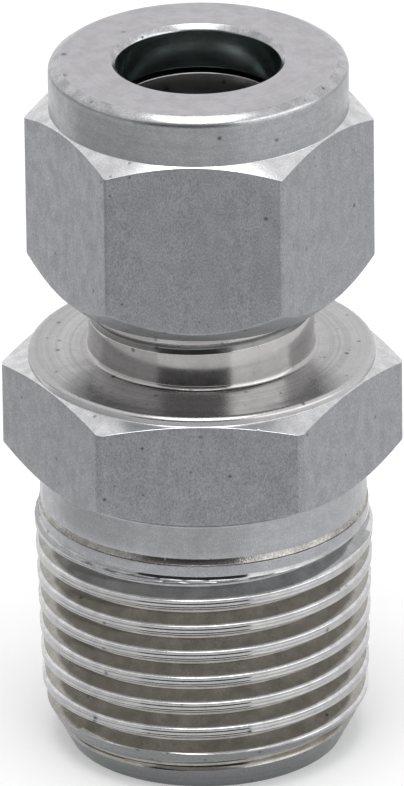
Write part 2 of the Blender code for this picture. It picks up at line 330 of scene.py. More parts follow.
def turned_skin(outline: Outline) -> bmesh.types.BMesh:
    """Skin of a plain turned shape.

    Args:
        outline: The outline that turns about the axis.

    Returns:
        The skin.
    """
    grid = LatheGrid()
    points = outline.rounded()
    rows = grid.rows(round_rows(points), [grid.even()] * len(points))
    return grid.build(rows, outline.bands())


def blended_angles(
    first: list[float], second: list[float], shares: list[float]
) -> list[list[float]]:
    """Column angles of rows between two spacings.

    Args:
        first: Column angles where the share is 0.
        second: Column angles where the share is 1.
        shares: Share of the second spacing for each row.

    Returns:
        One list of angles for each row.
    """
    return [
        [low + (high - low) * share for low, high in zip(first, second)] for share in shares
    ]


@dataclass
class SkinRows:
    """Rows of a skin, gathered from one end to the other.

    Attributes:
        profiles: For each row, the (radius, height) of each column.
        zones: Finish of the band that follows each row.
        shares: How far the column angles of each row follow the hexagon bar.
    """

    profiles: list[list[Point]] = field(default_factory=list)
    zones: list[Zone] = field(default_factory=list)
    shares: list[float] = field(default_factory=list)

    def turned(
        self, points: list[Point], zones: list[Zone], shares: list[float] | None = None
    ) -> None:
        """Add the rows of a plain turned shape.

        Args:
            points: (radius, height) points in order.
            zones: Finish of the band after each point.
            shares: Share of the bar's spacing at each point, or none for an even spacing.
        """
        self.profiles += round_rows(points)
        self.zones += zones
        self.shares += shares or [0.0] * len(points)

    def follow(self, columns: list[Outline]) -> None:
        """Add the rows of a shape on the bar.

        Args:
            columns: Outline of each column, all with the same corners rounded.
        """
        points = [column.rounded() for column in columns]
        self.profiles += [list(row) for row in zip(*points)]
        self.zones += columns[0].bands()
        self.shares += [1.0] * len(points[0])

    def skin(self, grid: LatheGrid, bar: HexagonBar) -> bmesh.types.BMesh:
        """Join the rows.

        Args:
            grid: Grid that places the points.
            bar: The hexagon bar whose corners some of the rows follow.

        Returns:
            The skin.
        """
        angles = blended_angles(grid.even(), bar.angles(), self.shares)
        return grid.build(grid.rows(self.profiles, angles), self.zones)


# Helical threads


@dataclass
class NodeSheet:
    """Helper that adds nodes to a tree of Geometry Nodes or of a material and links them.

    Attributes:
        tree: The tree that gets the nodes.
    """

    tree: Tree

    def add(self, kind: str, **settings: object) -> Node:
        """Add a node and set its plain properties.

        Args:
            kind: Type name of the node.
            settings: Properties of the node.

        Returns:
            The new node.
        """
        node = self.tree.nodes.new(kind)
        for name, value in settings.items():
            setattr(node, name, value)
        return node

    def link(self, start: Socket, end: Socket) -> None:
        """Join an output to an input."""
        self.tree.links.new(start, end)

    def math(self, operation: str, *values: Value) -> Socket:
        """One math operation on sockets or numbers.

        Args:
            operation: Name of the operation.
            values: Sockets or numbers, in order.

        Returns:
            The socket with the result.
        """
        node = self.add("ShaderNodeMath", operation=operation)
        for socket, value in zip(node.inputs, values):
            if isinstance(value, (int, float)):
                socket.default_value = value
            else:
                self.link(value, socket)
        return node.outputs[0]

    def plus(self, first: Value, second: Value) -> Socket:
        """Sum of two values."""
        return self.math("ADD", first, second)

    def minus(self, first: Value, second: Value) -> Socket:
        """First value less the second."""
        return self.math("SUBTRACT", first, second)

    def times(self, first: Value, second: Value) -> Socket:
        """Product of two values."""
        return self.math("MULTIPLY", first, second)

    def over(self, first: Value, second: Value) -> Socket:
        """First value divided by the second."""
        return self.math("DIVIDE", first, second)

    def least(self, first: Value, second: Value) -> Socket:
        """The smaller of two values."""
        return self.math("MINIMUM", first, second)

    def most(self, first: Value, second: Value) -> Socket:
        """The larger of two values."""
        return self.math("MAXIMUM", first, second)


class ThreadTree:
    """Geometry Nodes tree that makes one screw thread as a single helical skin.

    Each column of the skin holds one pitch of the thread, and the columns wind round the
    axis and rise by the pitch in each turn, so that the top of one turn is the bottom of
    the next. The thread is trimmed at both ends by two cones and fades out at its top.
    """

    NAME = "helical_thread"
    SIZES = (
        "Pitch",
        "Depth",
        "Half Root",
        "Flank Slope",
        "Edge Round",
        "Crest Radius",
        "Taper",
        "First Height",
        "Start Angle",
        "Bottom",
        "Top",
        "Bottom Limit",
        "Bottom Slope",
        "Top Limit",
        "Top Slope",
        "Land",
        "Fade Start",
        "Fade Length",
        "Side",
        "Crest Dish",
        "Lip Slope",
    )
    SHARES = (
        0.0, 0.025, 0.05, 0.075, 0.1, 0.122, 0.142, 0.16, 0.178, 0.2, 0.3, 0.42, 0.46, 0.5,
    )
    FURROW_SPAN = 0.9
    END_SLOPE = 2.0
    SEAM_WELD = 0.0004 * MM

    def __init__(self) -> None:
        """Build the tree once."""
        self.tree = bpy.data.node_groups.new(self.NAME, "GeometryNodeTree")
        face = self.tree.interface
        for name in self.SIZES:
            face.new_socket(name, in_out="INPUT", socket_type="NodeSocketFloat")
        face.new_socket("Columns", in_out="INPUT", socket_type="NodeSocketInt")
        face.new_socket("Rows", in_out="INPUT", socket_type="NodeSocketInt")
        face.new_socket("Turns", in_out="INPUT", socket_type="NodeSocketFloat")
        face.new_socket("Finish", in_out="INPUT", socket_type="NodeSocketMaterial")
        face.new_socket("Geometry", in_out="OUTPUT", socket_type="NodeSocketGeometry")
        self.sheet = NodeSheet(self.tree)
        self.given = self.sheet.add("NodeGroupInput").outputs
        self._wire()

    def _profile_place(self, row_share: Socket) -> Socket:
        """Share of the pitch at a row of the grid, with rows close together at edges.

        Args:
            row_share: Share of the rows below this one.

        Returns:
            The share of the pitch.
        """
        curve = self.sheet.add("ShaderNodeFloatCurve")
        points = curve.mapping.curves[0].points
        half = len(self.SHARES) - 1
        pairs = [(0.5 * index / half, share) for index, share in enumerate(self.SHARES)]
        pairs += [(1.0 - x, 1.0 - y) for x, y in reversed(pairs[:-1])]
        points[0].location = pairs[0]
        points[1].location = pairs[-1]
        for pair in pairs[1:-1]:
            points.new(*pair)
        for point in points:
            point.handle_type = "VECTOR"
        curve.mapping.update()
        self.sheet.link(row_share, curve.inputs["Value"])
        return curve.outputs[0]

    def _height(self, turns: Socket, share: Socket) -> Socket:
        """Height of a point, held between the two ends of the skin.

        Args:
            turns: Turns from the first column to the point's column.
            share: Share of the pitch at the point's row.

        Returns:
            The height.
        """
        sheet, given = self.sheet, self.given
        rise = sheet.times(given["Pitch"], sheet.plus(turns, share))
        free_height = sheet.plus(given["First Height"], rise)
        return sheet.most(given["Bottom"], sheet.least(given["Top"], free_height))

    def _lift(self, turns: Socket) -> Socket:
        """How far the tool has risen out of the groove.

        Args:
            turns: Turns from the first column to the point's column.

        Returns:
            The rise, nought below the start of the fade.
        """
        sheet, given = self.sheet, self.given
        rise = sheet.times(given["Pitch"], sheet.plus(turns, 0.5))
        groove_height = sheet.plus(given["First Height"], rise)
        faded = sheet.over(sheet.minus(groove_height, given["Fade Start"]), given["Fade Length"])
        return sheet.times(sheet.most(faded, 0.0), given["Depth"])

    def _dish(self, off_centre: Socket) -> Socket:
        """Two shallow furrows along a crest, between the lips that the tool leaves.

        Args:
            off_centre: Distance from the groove's middle, as a share of the pitch.

        Returns:
            The depth of the furrows.
        """
        sheet, given = self.sheet, self.given
        slope_width = sheet.times(given["Depth"], given["Flank Slope"])
        groove = sheet.plus(given["Half Root"], slope_width)
        half_crest = sheet.minus(sheet.times(given["Pitch"], 0.5), groove)
        from_crest = sheet.times(sheet.minus(0.5, off_centre), given["Pitch"])
        share = sheet.over(from_crest, sheet.times(half_crest, self.FURROW_SPAN))
        wave = sheet.math("SINE", sheet.times(sheet.least(share, 1.0), math.pi))
        return sheet.times(sheet.times(wave, wave), given["Crest Dish"])

    def _cut(self, turns: Socket, share: Socket, to_top: Socket) -> Socket:
        """Depth of a point below the crests.

        Args:
            turns: Turns from the first column to the point's column.
            share: Share of the pitch at the point's row.
            to_top: Height that is left above the point.

        Returns:
            The depth.
        """
        sheet, given = self.sheet, self.given
        off_centre = sheet.math("ABSOLUTE", sheet.minus(share, 0.5))
        past_root = sheet.minus(sheet.times(off_centre, given["Pitch"]), given["Half Root"])
        flank = sheet.minus(given["Depth"], sheet.over(past_root, given["Flank Slope"]))
        cut = sheet.math("SMOOTH_MIN", flank, given["Depth"], given["Edge Round"])
        cut = sheet.minus(cut, self._lift(turns))
        cut = sheet.math("SMOOTH_MAX", cut, 0.0, given["Edge Round"])
        cut = sheet.plus(cut, self._dish(off_centre))
        return sheet.least(cut, sheet.times(to_top, self.END_SLOPE))

    def _radius(self, height: Socket, cut: Socket, to_top: Socket) -> Socket:
        """Distance of a point from the axis, trimmed by the cones at both ends.

        Args:
            height: Height of the point.
            cut: Depth of the point below the crests.
            to_top: Height that is left above the point.

        Returns:
            The distance.
        """
        sheet, given = self.sheet, self.given
        side = given["Side"]
        crest = sheet.plus(given["Crest Radius"], sheet.times(given["Taper"], height))
        signed = sheet.minus(sheet.times(crest, side), cut)
        from_bottom = sheet.minus(height, given["Bottom"])
        low_limit = sheet.plus(
            sheet.times(given["Bottom Limit"], side),
            sheet.times(given["Bottom Slope"], from_bottom),
        )
        below_land = sheet.most(sheet.minus(given["Land"], height), 0.0)
        top_limit = sheet.plus(
            sheet.times(given["Top Limit"], side),
            sheet.times(given["Top Slope"], below_land),
        )
        top_limit = sheet.plus(top_limit, sheet.times(given["Lip Slope"], to_top))
        signed = sheet.least(signed, sheet.least(low_limit, top_limit))
        return sheet.times(signed, side)

    def _grid(self) -> tuple[Socket, Socket, Socket]:
        """Flat grid with one column for each step round the axis.

        Returns:
            The grid, the turns at each point and the share of the pitch at each point.
        """
        sheet, given = self.sheet, self.given
        grid = sheet.add("GeometryNodeMeshGrid")
        grid.inputs["Size X"].default_value = 1.0
        grid.inputs["Size Y"].default_value = 1.0
        steps = sheet.math("ROUND", sheet.times(given["Turns"], given["Columns"]))
        row_points = sheet.plus(given["Rows"], 1.0)
        sheet.link(row_points, grid.inputs["Vertices Y"])
        sheet.link(sheet.plus(steps, 1.0), grid.inputs["Vertices X"])
        index = sheet.add("GeometryNodeInputIndex").outputs[0]
        column = sheet.math("FLOOR", sheet.over(sheet.plus(index, 0.5), row_points))
        row = sheet.minus(index, sheet.times(column, row_points))
        share = self._profile_place(sheet.over(row, given["Rows"]))
        return grid.outputs["Mesh"], sheet.over(column, given["Columns"]), share

    def _wire(self) -> None:
        """Lay out the nodes of the tree."""
        sheet, given = self.sheet, self.given
        grid, turns, share = self._grid()
        height = self._height(turns, share)
        to_top = sheet.minus(given["Top"], height)
        radius = self._radius(height, self._cut(turns, share, to_top), to_top)
        angle = sheet.plus(given["Start Angle"], sheet.times(turns, math.tau))
        place = sheet.add("ShaderNodeCombineXYZ")
        sheet.link(sheet.times(radius, sheet.math("COSINE", angle)), place.inputs["X"])
        sheet.link(sheet.times(radius, sheet.math("SINE", angle)), place.inputs["Y"])
        sheet.link(height, place.inputs["Z"])
        setter = sheet.add("GeometryNodeSetPosition")
        sheet.link(grid, setter.inputs["Geometry"])
        sheet.link(place.outputs[0], setter.inputs["Position"])
        welded = sheet.add("GeometryNodeMergeByDistance")
        welded.inputs["Distance"].default_value = self.SEAM_WELD
        sheet.link(setter.outputs[0], welded.inputs["Geometry"])
        plain = sheet.add("GeometryNodeRealizeInstances")
        sheet.link(welded.outputs[0], plain.inputs[0])
        finish = sheet.add("GeometryNodeSetMaterial")
        sheet.link(plain.outputs[0], finish.inputs["Geometry"])
        sheet.link(given["Finish"], finish.inputs["Material"])
        out = sheet.add("NodeGroupOutput")
        sheet.link(finish.outputs[0], out.inputs[0])

    def bake(self, sizes: dict[str, object]) -> bpy.types.Mesh:
        """Make one thread as a plain mesh.

        Args:
            sizes: Value of each named input of the tree.

        Returns:
            The finished skin of the thread.
        """
        carrier = bpy.data.objects.new(self.NAME, bpy.data.meshes.new(self.NAME))
        bpy.context.scene.collection.objects.link(carrier)
        step = carrier.modifiers.new(self.NAME, "NODES")
        step.node_group = self.tree
        names = {
            item.name: item.identifier
            for item in self.tree.interface.items_tree
            if item.item_type == "SOCKET" and item.in_out == "INPUT"
        }
        for name, value in sizes.items():
            step[names[name]] = value
        bpy.context.view_layer.update()
        view = bpy.context.evaluated_depsgraph_get()
        mesh = bpy.data.meshes.new_from_object(carrier.evaluated_get(view))
        bpy.data.objects.remove(carrier, do_unlink=True)
        return mesh


@dataclass(frozen=True)
class ScrewThread:
    """Sizes of one thread.

    Attributes:
        pitch: Rise in one turn.
        depth: Depth from crest to root.
        half_root: Half the width of the flat at the root.
        flank: Angle of a flank from the radial direction.
        crest_radius: Radius over the crests at height zero.
        taper: Growth of the radius with height.
        crest_at_start: Height of a crest's middle at the start angle.
        start_angle: Angle of the first column.
        bottom: Height where the skin starts.
        top: Height where the skin ends.
        bottom_limit: Radius of the trimming cone at the bottom.
        bottom_slope: Growth of that cone with height.
        top_limit: Radius of the trimming cone at the top.
        top_slope: Growth of that cone downwards from the land.
        land: Height under which the top cone starts to grow.
        fade_start: Height at which the tool starts to leave the groove.
        fade_length: Rise over which it leaves.
        side: Whether the thread is cut on the outer or the inner side of the wall.
        edge_round: Rounding of crest and root edges.
        dish: Depth of the furrows between the lips of a crest.
        lip_slope: Growth of the top cone from the top down to the land.
        rows: Number of bands in one pitch.
    """

    pitch: float
    depth: float
    half_root: float
    flank: float
    crest_radius: float
    taper: float
    crest_at_start: float
    start_angle: float
    bottom: float
    top: float
    bottom_limit: float
    bottom_slope: float
    top_limit: float
    top_slope: float
    land: float
    fade_start: float
    fade_length: float
    side: Side = Side.OUTER
    edge_round: float = 0.035 * MM
    dish: float = 0.0
    lip_slope: float = 0.0
    rows: int = 14

    def skin(
        self, tree: ThreadTree, finish: bpy.types.Material, zone: Zone = Zone.THREAD
    ) -> bpy.types.Mesh:
        """Bake the thread.

        Args:
            tree: The tree that makes threads.
            finish: Material of the skin.
            zone: Zone of the skin.

        Returns:
            The mesh of the thread's skin.
        """
        below = math.ceil((self.crest_at_start - self.bottom) / self.pitch) + 1
        first = self.crest_at_start - below * self.pitch
        turns = math.ceil((self.top - first) / self.pitch) + 1
        mesh = tree.bake(
            {
                "Pitch": self.pitch,
                "Depth": self.depth,
                "Half Root": self.half_root,
                "Flank Slope": math.tan(self.flank),
                "Edge Round": self.edge_round,
                "Crest Radius": self.crest_radius,
                "Taper": self.taper,
                "First Height": first,
                "Start Angle": self.start_angle,
                "Bottom": self.bottom,
                "Top": self.top,
                "Bottom Limit": self.bottom_limit,
                "Bottom Slope": self.bottom_slope,
                "Top Limit": self.top_limit,
                "Top Slope": self.top_slope,
                "Land": self.land,
                "Fade Start": self.fade_start,
                "Fade Length": self.fade_length,
                "Side": self.side.value,
                "Crest Dish": self.dish,
                "Lip Slope": self.lip_slope,
                "Columns": COLUMNS,
                "Rows": self.rows,
                "Turns": float(turns),
                "Finish": finish,
            }
        )
        for face in mesh.polygons:
            face.material_index = zone.value
        return mesh


# Finishing a piece


def finish_piece(
    name: str,
    skins: list[bmesh.types.BMesh],
    threads: list[bpy.types.Mesh],
    finishes: dict[Zone, bpy.types.Material],
    sharp: float = 40.0,
) -> bpy.types.Object:
    """Join skins into one closed piece and shade it.

    Args:
        name: Name of the piece.
        skins: Lathe skins, which are used up.
        threads: Thread skins, which are used up.
        finishes: Material of each zone.
        sharp: Angle in degrees above which an edge stays sharp.

    Returns:
        The finished object.
    """
    joined = bmesh.new()
    for skin in skins:
        carrier = bpy.data.meshes.new(name)
        skin.to_mesh(carrier)
        skin.free()
        joined.from_mesh(carrier)
        bpy.data.meshes.remove(carrier)
    for thread in threads:
        joined.from_mesh(thread)
        bpy.data.meshes.remove(thread)
    bmesh.ops.remove_doubles(joined, verts=joined.verts, dist=WELD)
    bmesh.ops.dissolve_degenerate(joined, edges=joined.edges, dist=SLIVER)
    bmesh.ops.recalc_face_normals(joined, faces=joined.faces)
    open_edges = sum(1 for edge in joined.edges if not edge.is_manifold)
    used = sorted({face.material_index for face in joined.faces})
    for face in joined.faces:
        face.material_index = used.index(face.material_index)
    mesh = bpy.data.meshes.new(name)
    joined.to_mesh(mesh)
    joined.free()
    mesh.shade_smooth()
    mesh.set_sharp_from_angle(angle=math.radians(sharp))
    for value in used:
        mesh.materials.append(finishes[Zone(value)])
    piece = bpy.data.objects.new(name, mesh)
    bpy.context.scene.collection.objects.link(piece)
    log.info("%s: %d faces, %d open edges", name, len(mesh.polygons), open_edges)
    return piece


# Shader groups


class ShaderSheet(NodeSheet):
    """Helper that lays out shader nodes."""

    def mix(self, factor: Value, first: Socket | Place, second: Socket | Place) -> Socket:
        """Blend two colours.

        Args:
            factor: Share of the second colour.
            first: Colour or socket.
            second: Colour or socket.

        Returns:
            The blended colour.
        """
        node = self.add("ShaderNodeMix", data_type="RGBA")
        share, low, high = node.inputs[0], node.inputs[6], node.inputs[7]
        for socket, value in ((share, factor), (low, first), (high, second)):
            if isinstance(value, (int, float)):
                socket.default_value = value
            elif isinstance(value, tuple):
                socket.default_value = (*value, 1.0)
            else:
                self.link(value, socket)
        return node.outputs[2]

    def noise(
        self, place: Socket, scale: float = 1.0, detail: float = 3.0, rough: float = 0.5
    ) -> Socket:
        """Noise value at a place.

        Args:
            place: Coordinates.
            scale: Scale of the noise.
            detail: Number of octaves.
            rough: Strength of the finer octaves.

        Returns:
            Socket with values about 0.5.
        """
        node = self.add("ShaderNodeTexNoise")
        node.inputs["Scale"].default_value = scale
        node.inputs["Detail"].default_value = detail
        node.inputs["Roughness"].default_value = rough
        self.link(place, node.inputs["Vector"])
        return node.outputs["Fac"]

    def scaled(self, place: Socket, share: float) -> Socket:
        """Multiply a place, which makes a pattern on it broader or finer.

        Args:
            place: Coordinates.
            share: What they are multiplied by.

        Returns:
            The new coordinates.
        """
        node = self.add("ShaderNodeVectorMath", operation="SCALE")
        node.inputs["Scale"].default_value = share
        self.link(place, node.inputs[0])
        return node.outputs[0]

    def step(
        self, value: Socket, low: float, high: float, start: float = 0.0, end: float = 1.0
    ) -> Socket:
        """Smooth ramp of a value.

        Args:
            value: Socket to ramp.
            low: Value where the ramp starts.
            high: Value where it ends.
            start: Result at the start.
            end: Result at the end.

        Returns:
            The ramped value.
        """
        node = self.add("ShaderNodeMapRange", interpolation_type="SMOOTHSTEP")
        for name, number in (
            ("From Min", low),
            ("From Max", high),
            ("To Min", start),
            ("To Max", end),
        ):
            node.inputs[name].default_value = number
        self.link(value, node.inputs["Value"])
        return node.outputs[0]


def new_group(
    name: str, inputs: tuple[str, ...], outputs: tuple[str, ...]
) -> tuple[ShaderSheet, Node, Node]:
    """Start a shader node group whose sockets are single numbers, apart from Place.

    Args:
        name: Name of the group.
        inputs: Names of its inputs.
        outputs: Names of its outputs.

    Returns:
        Its sheet, its input node and its output node.
    """
    tree = bpy.data.node_groups.new(name, "ShaderNodeTree")
    for label in inputs:
        kind = "NodeSocketVector" if label == "Place" else "NodeSocketFloat"
        tree.interface.new_socket(label, in_out="INPUT", socket_type=kind)
    for label in outputs:
        tree.interface.new_socket(label, in_out="OUTPUT", socket_type="NodeSocketFloat")
    sheet = ShaderSheet(tree)
    return sheet, sheet.add("NodeGroupInput"), sheet.add("NodeGroupOutput")


class SteelGroups:
    """The shader groups that the steel finishes share."""

    RING_PATCH = 0.31
    GRAIN_PATCH = 0.12
    PIT_LEAST = 0.12
    PIT_SPREAD = 0.22

    def __init__(self) -> None:
        """Build each group once."""
        self.turned = self._turned_marks()
        self.grain = self._satin_grain()
        self.pits = self._pits()

    @staticmethod
    def _polar(sheet: ShaderSheet, place: Socket) -> tuple[Socket, Socket, Socket]:
        """Change a place to its angle, radius and height.

        Args:
            sheet: Sheet that gets the nodes.
            place: The place.

        Returns:
            Angle about the axis, distance from the axis and height.
        """
        parts = sheet.add("ShaderNodeSeparateXYZ")
        sheet.link(place, parts.inputs[0])
        x, y, z = parts.outputs
        square = sheet.plus(sheet.times(x, x), sheet.times(y, y))
        return sheet.math("ARCTAN2", y, x), sheet.math("SQRT", square), z

    def _turned_marks(self) -> Tree:
        """Fine rings left by a turning tool, in radius and in height.

        Returns:
            A group with a Height and a Tone output about 0.5.
        """
        inputs = ("Place", "Spacing", "Waver")
        sheet, given, out = new_group("turned_marks", inputs, ("Height", "Tone"))
        angle, radius, z = self._polar(sheet, given.outputs["Place"])
        fine = sheet.over(sheet.plus(radius, z), given.outputs["Spacing"])
        east = sheet.times(sheet.math("COSINE", angle), given.outputs["Waver"])
        north = sheet.times(sheet.math("SINE", angle), given.outputs["Waver"])
        wave = sheet.add("ShaderNodeCombineXYZ")
        for socket, value in zip(wave.inputs, (fine, east, north)):
            sheet.link(value, socket)
        rings = sheet.noise(wave.outputs[0], detail=4.0, rough=0.62)
        sheet.link(rings, out.inputs["Height"])
        slow = sheet.scaled(wave.outputs[0], self.RING_PATCH)
        sheet.link(sheet.noise(slow, detail=2.0), out.inputs["Tone"])
        return sheet.tree

    def _satin_grain(self) -> Tree:
        """Fine speckle of a blasted or drawn surface, which can be stretched upright.

        Returns:
            A group with a Height and a Tone output about 0.5.
        """
        inputs = ("Place", "Size", "Stretch")
        sheet, given, out = new_group("satin_grain", inputs, ("Height", "Tone"))
        parts = sheet.add("ShaderNodeSeparateXYZ")
        sheet.link(given.outputs["Place"], parts.inputs[0])
        divided = sheet.add("ShaderNodeCombineXYZ")
        tall = sheet.times(given.outputs["Size"], given.outputs["Stretch"])
        sizes = (given.outputs["Size"], given.outputs["Size"], tall)
        for part, size, socket in zip(parts.outputs, sizes, divided.inputs):
            sheet.link(sheet.over(part, size), socket)
        speckle = sheet.noise(divided.outputs[0], rough=0.6)
        sheet.link(speckle, out.inputs["Height"])
        broad = sheet.scaled(divided.outputs[0], self.GRAIN_PATCH)
        sheet.link(sheet.noise(broad, rough=0.55), out.inputs["Tone"])
        return sheet.tree

    def _pits(self) -> Tree:
        """Small scattered pits and dints.

        Returns:
            A group with one output, Depth, from 0 to 1 in a pit.
        """
        sheet, given, out = new_group("small_pits", ("Place", "Spacing", "Share"), ("Depth",))
        spread = sheet.add("ShaderNodeCombineXYZ")
        for socket in spread.inputs:
            sheet.link(given.outputs["Spacing"], socket)
        divided = sheet.add("ShaderNodeVectorMath", operation="DIVIDE")
        sheet.link(given.outputs["Place"], divided.inputs[0])
        sheet.link(spread.outputs[0], divided.inputs[1])
        near = sheet.add("ShaderNodeTexVoronoi", feature="F1")
        near.inputs["Scale"].default_value = 1.0
        sheet.link(divided.outputs[0], near.inputs["Vector"])
        parts = sheet.add("ShaderNodeSeparateColor")
        sheet.link(near.outputs["Color"], parts.inputs[0])
        chosen = sheet.math("LESS_THAN", parts.outputs[0], given.outputs["Share"])
        size = sheet.math("MULTIPLY_ADD", parts.outputs[1], self.PIT_SPREAD, self.PIT_LEAST)
        inside = sheet.minus(1.0, sheet.over(near.outputs["Distance"], size))
        depth = sheet.times(sheet.most(inside, 0.0), chosen)
        sheet.link(depth, out.inputs["Depth"])
        return sheet.tree


# Finishes


@dataclass(frozen=True)
class SteelFinish:
    """Look of one kind of steel surface.

    Attributes:
        name: Name of the material.
        tone: Base colour.
        roughness: Plain roughness.
        rings: Height of the turning marks.
        spacing: Distance between turning marks.
        ring_tone: Share by which the marks darken the colour.
        waver: How much the marks change round the axis.
        grain: Height of the satin grain.
        grain_size: Size of the grain.
        stretch: How much longer the grain is upright than across.
        grain_tone: Share by which the grain darkens the colour.
        mottle: Share by which broad patches darken the colour.
        pits: Height of the pits.
        pit_spacing: Distance between places for a pit.
        pit_share: Share of those places that have one.
        low_tone: Base colour lower down, where it differs.
        low_from: Height where the colour starts to change.
        low_to: Height where it has changed.
    """
    PIT_SHADE: ClassVar[float] = 0.9
    PIT_LOW: ClassVar[float] = 0.15
    DARK_SHARE: ClassVar[float] = 0.02
    PATCH_ENDS: ClassVar[Point] = (0.3, 0.7)
    ROUGH_ENDS: ClassVar[Point] = (0.25, 0.75)
    ROUGH_SHARES: ClassVar[Point] = (0.85, 1.2)

    name: str
    tone: Place
    roughness: float
    rings: float = 0.0
    spacing: float = 0.10 * MM
    ring_tone: float = 0.0
    waver: float = 0.6
    grain: float = 0.0
    grain_size: float = 0.12 * MM
    stretch: float = 1.0
    grain_tone: float = 0.0
    mottle: float = 0.0
    pits: float = 0.0
    pit_spacing: float = 0.7 * MM
    pit_share: float = 0.25
    low_tone: Place | None = None
    low_from: float = 14.8 * MM
    low_to: float = 13.2 * MM

    def _colour(self, sheet: ShaderSheet, place: Socket) -> Socket | Place:
        """Base colour, which may change with the height.

        Args:
            sheet: Sheet of the material.
            place: Object coordinates.

        Returns:
            The plain colour, or a socket with it where it changes.
        """
        if self.low_tone is None:
            return self.tone
        parts = sheet.add("ShaderNodeSeparateXYZ")
        sheet.link(place, parts.inputs[0])
        share = sheet.step(parts.outputs[2], self.low_to, self.low_from)
        return sheet.mix(share, self.low_tone, self.tone)

    def _shaded(self, sheet: ShaderSheet, value: Socket, share: float) -> Socket:
        """A factor that falls from 1 by a share as a noise value rises."""
        return sheet.step(value, *self.PATCH_ENDS, 1.0, 1.0 - share)

    def _shade(self, sheet: ShaderSheet, marks: Node, grain: Node, pits: Node) -> Socket:
        """How much of the base colour the marks, the grain and the pits leave.

        Args:
            sheet: Sheet of the material.
            marks: Group node of the turning marks.
            grain: Group node of the satin grain.
            pits: Group node of the pits.

        Returns:
            A factor up to 1.
        """
        shade = self._shaded(sheet, marks.outputs["Tone"], self.ring_tone)
        fine = self._shaded(sheet, grain.outputs["Height"], self.grain_tone)
        broad = self._shaded(sheet, grain.outputs["Tone"], self.mottle)
        shade = sheet.times(sheet.times(shade, fine), broad)
        hollow = sheet.math("MULTIPLY_ADD", pits.outputs["Depth"], -self.PIT_SHADE, 1.0)
        return sheet.times(shade, sheet.most(hollow, self.PIT_LOW))

    def _bump(self, sheet: ShaderSheet, marks: Node, grain: Node, pits: Node) -> Socket:
        """Relief of the marks, the grain and the pits.

        Args:
            sheet: Sheet of the material.
            marks: Group node of the turning marks.
            grain: Group node of the satin grain.
            pits: Group node of the pits.

        Returns:
            The normal of the surface.
        """
        height = sheet.times(marks.outputs["Height"], self.rings / MM)
        height = sheet.math("MULTIPLY_ADD", grain.outputs["Height"], self.grain / MM, height)
        height = sheet.math("MULTIPLY_ADD", pits.outputs["Depth"], -self.pits / MM, height)
        bump = sheet.add("ShaderNodeBump")
        bump.inputs["Strength"].default_value = 1.0
        bump.inputs["Distance"].default_value = MM
        sheet.link(height, bump.inputs["Height"])
        return bump.outputs[0]

    def material(self, groups: SteelGroups) -> bpy.types.Material:
        """Make the finish as a material.

        Args:
            groups: The shared groups.

        Returns:
            The material.
        """
        material = bpy.data.materials.new(self.name)
        material.use_nodes = True
        sheet = ShaderSheet(material.node_tree)
        shader = material.node_tree.nodes["Principled BSDF"]
        shader.inputs["Metallic"].default_value = 1.0
        place = object_place(sheet)
        marks = use_group(sheet, groups.turned, place, spacing=self.spacing, waver=self.waver)
        grain = use_group(sheet, groups.grain, place, size=self.grain_size, stretch=self.stretch)
        pits = use_group(sheet, groups.pits, place, spacing=self.pit_spacing, share=self.pit_share)
        dark = tuple(value * self.DARK_SHARE for value in self.tone)
        shade = self._shade(sheet, marks, grain, pits)
        colour = sheet.mix(shade, dark, self._colour(sheet, place))
        sheet.link(colour, shader.inputs["Base Color"])
        low, high = (self.roughness * share for share in self.ROUGH_SHARES)
        rough = sheet.step(grain.outputs["Tone"], *self.ROUGH_ENDS, low, high)
        sheet.link(rough, shader.inputs["Roughness"])
        sheet.link(self._bump(sheet, marks, grain, pits), shader.inputs["Normal"])
        return material


def object_place(sheet: ShaderSheet) -> Socket:
    """Object coordinates of the shaded point."""
    return sheet.add("ShaderNodeTexCoord").outputs["Object"]


def use_group(sheet: ShaderSheet, group: Tree, place: Socket, **values: float) -> Node:
    """Put a shared group in a material.

    Args:
        sheet: Sheet of the material.
        group: The group.
        place: Coordinates for its Place input.
        values: Numbers for its other inputs, by their names in lower case.

    Returns:
        The group node.
    """
    node = sheet.add("ShaderNodeGroup", node_tree=group)
    sheet.link(place, node.inputs["Place"])
    for name, value in values.items():
        node.inputs[name.capitalize()].default_value = value
    return node


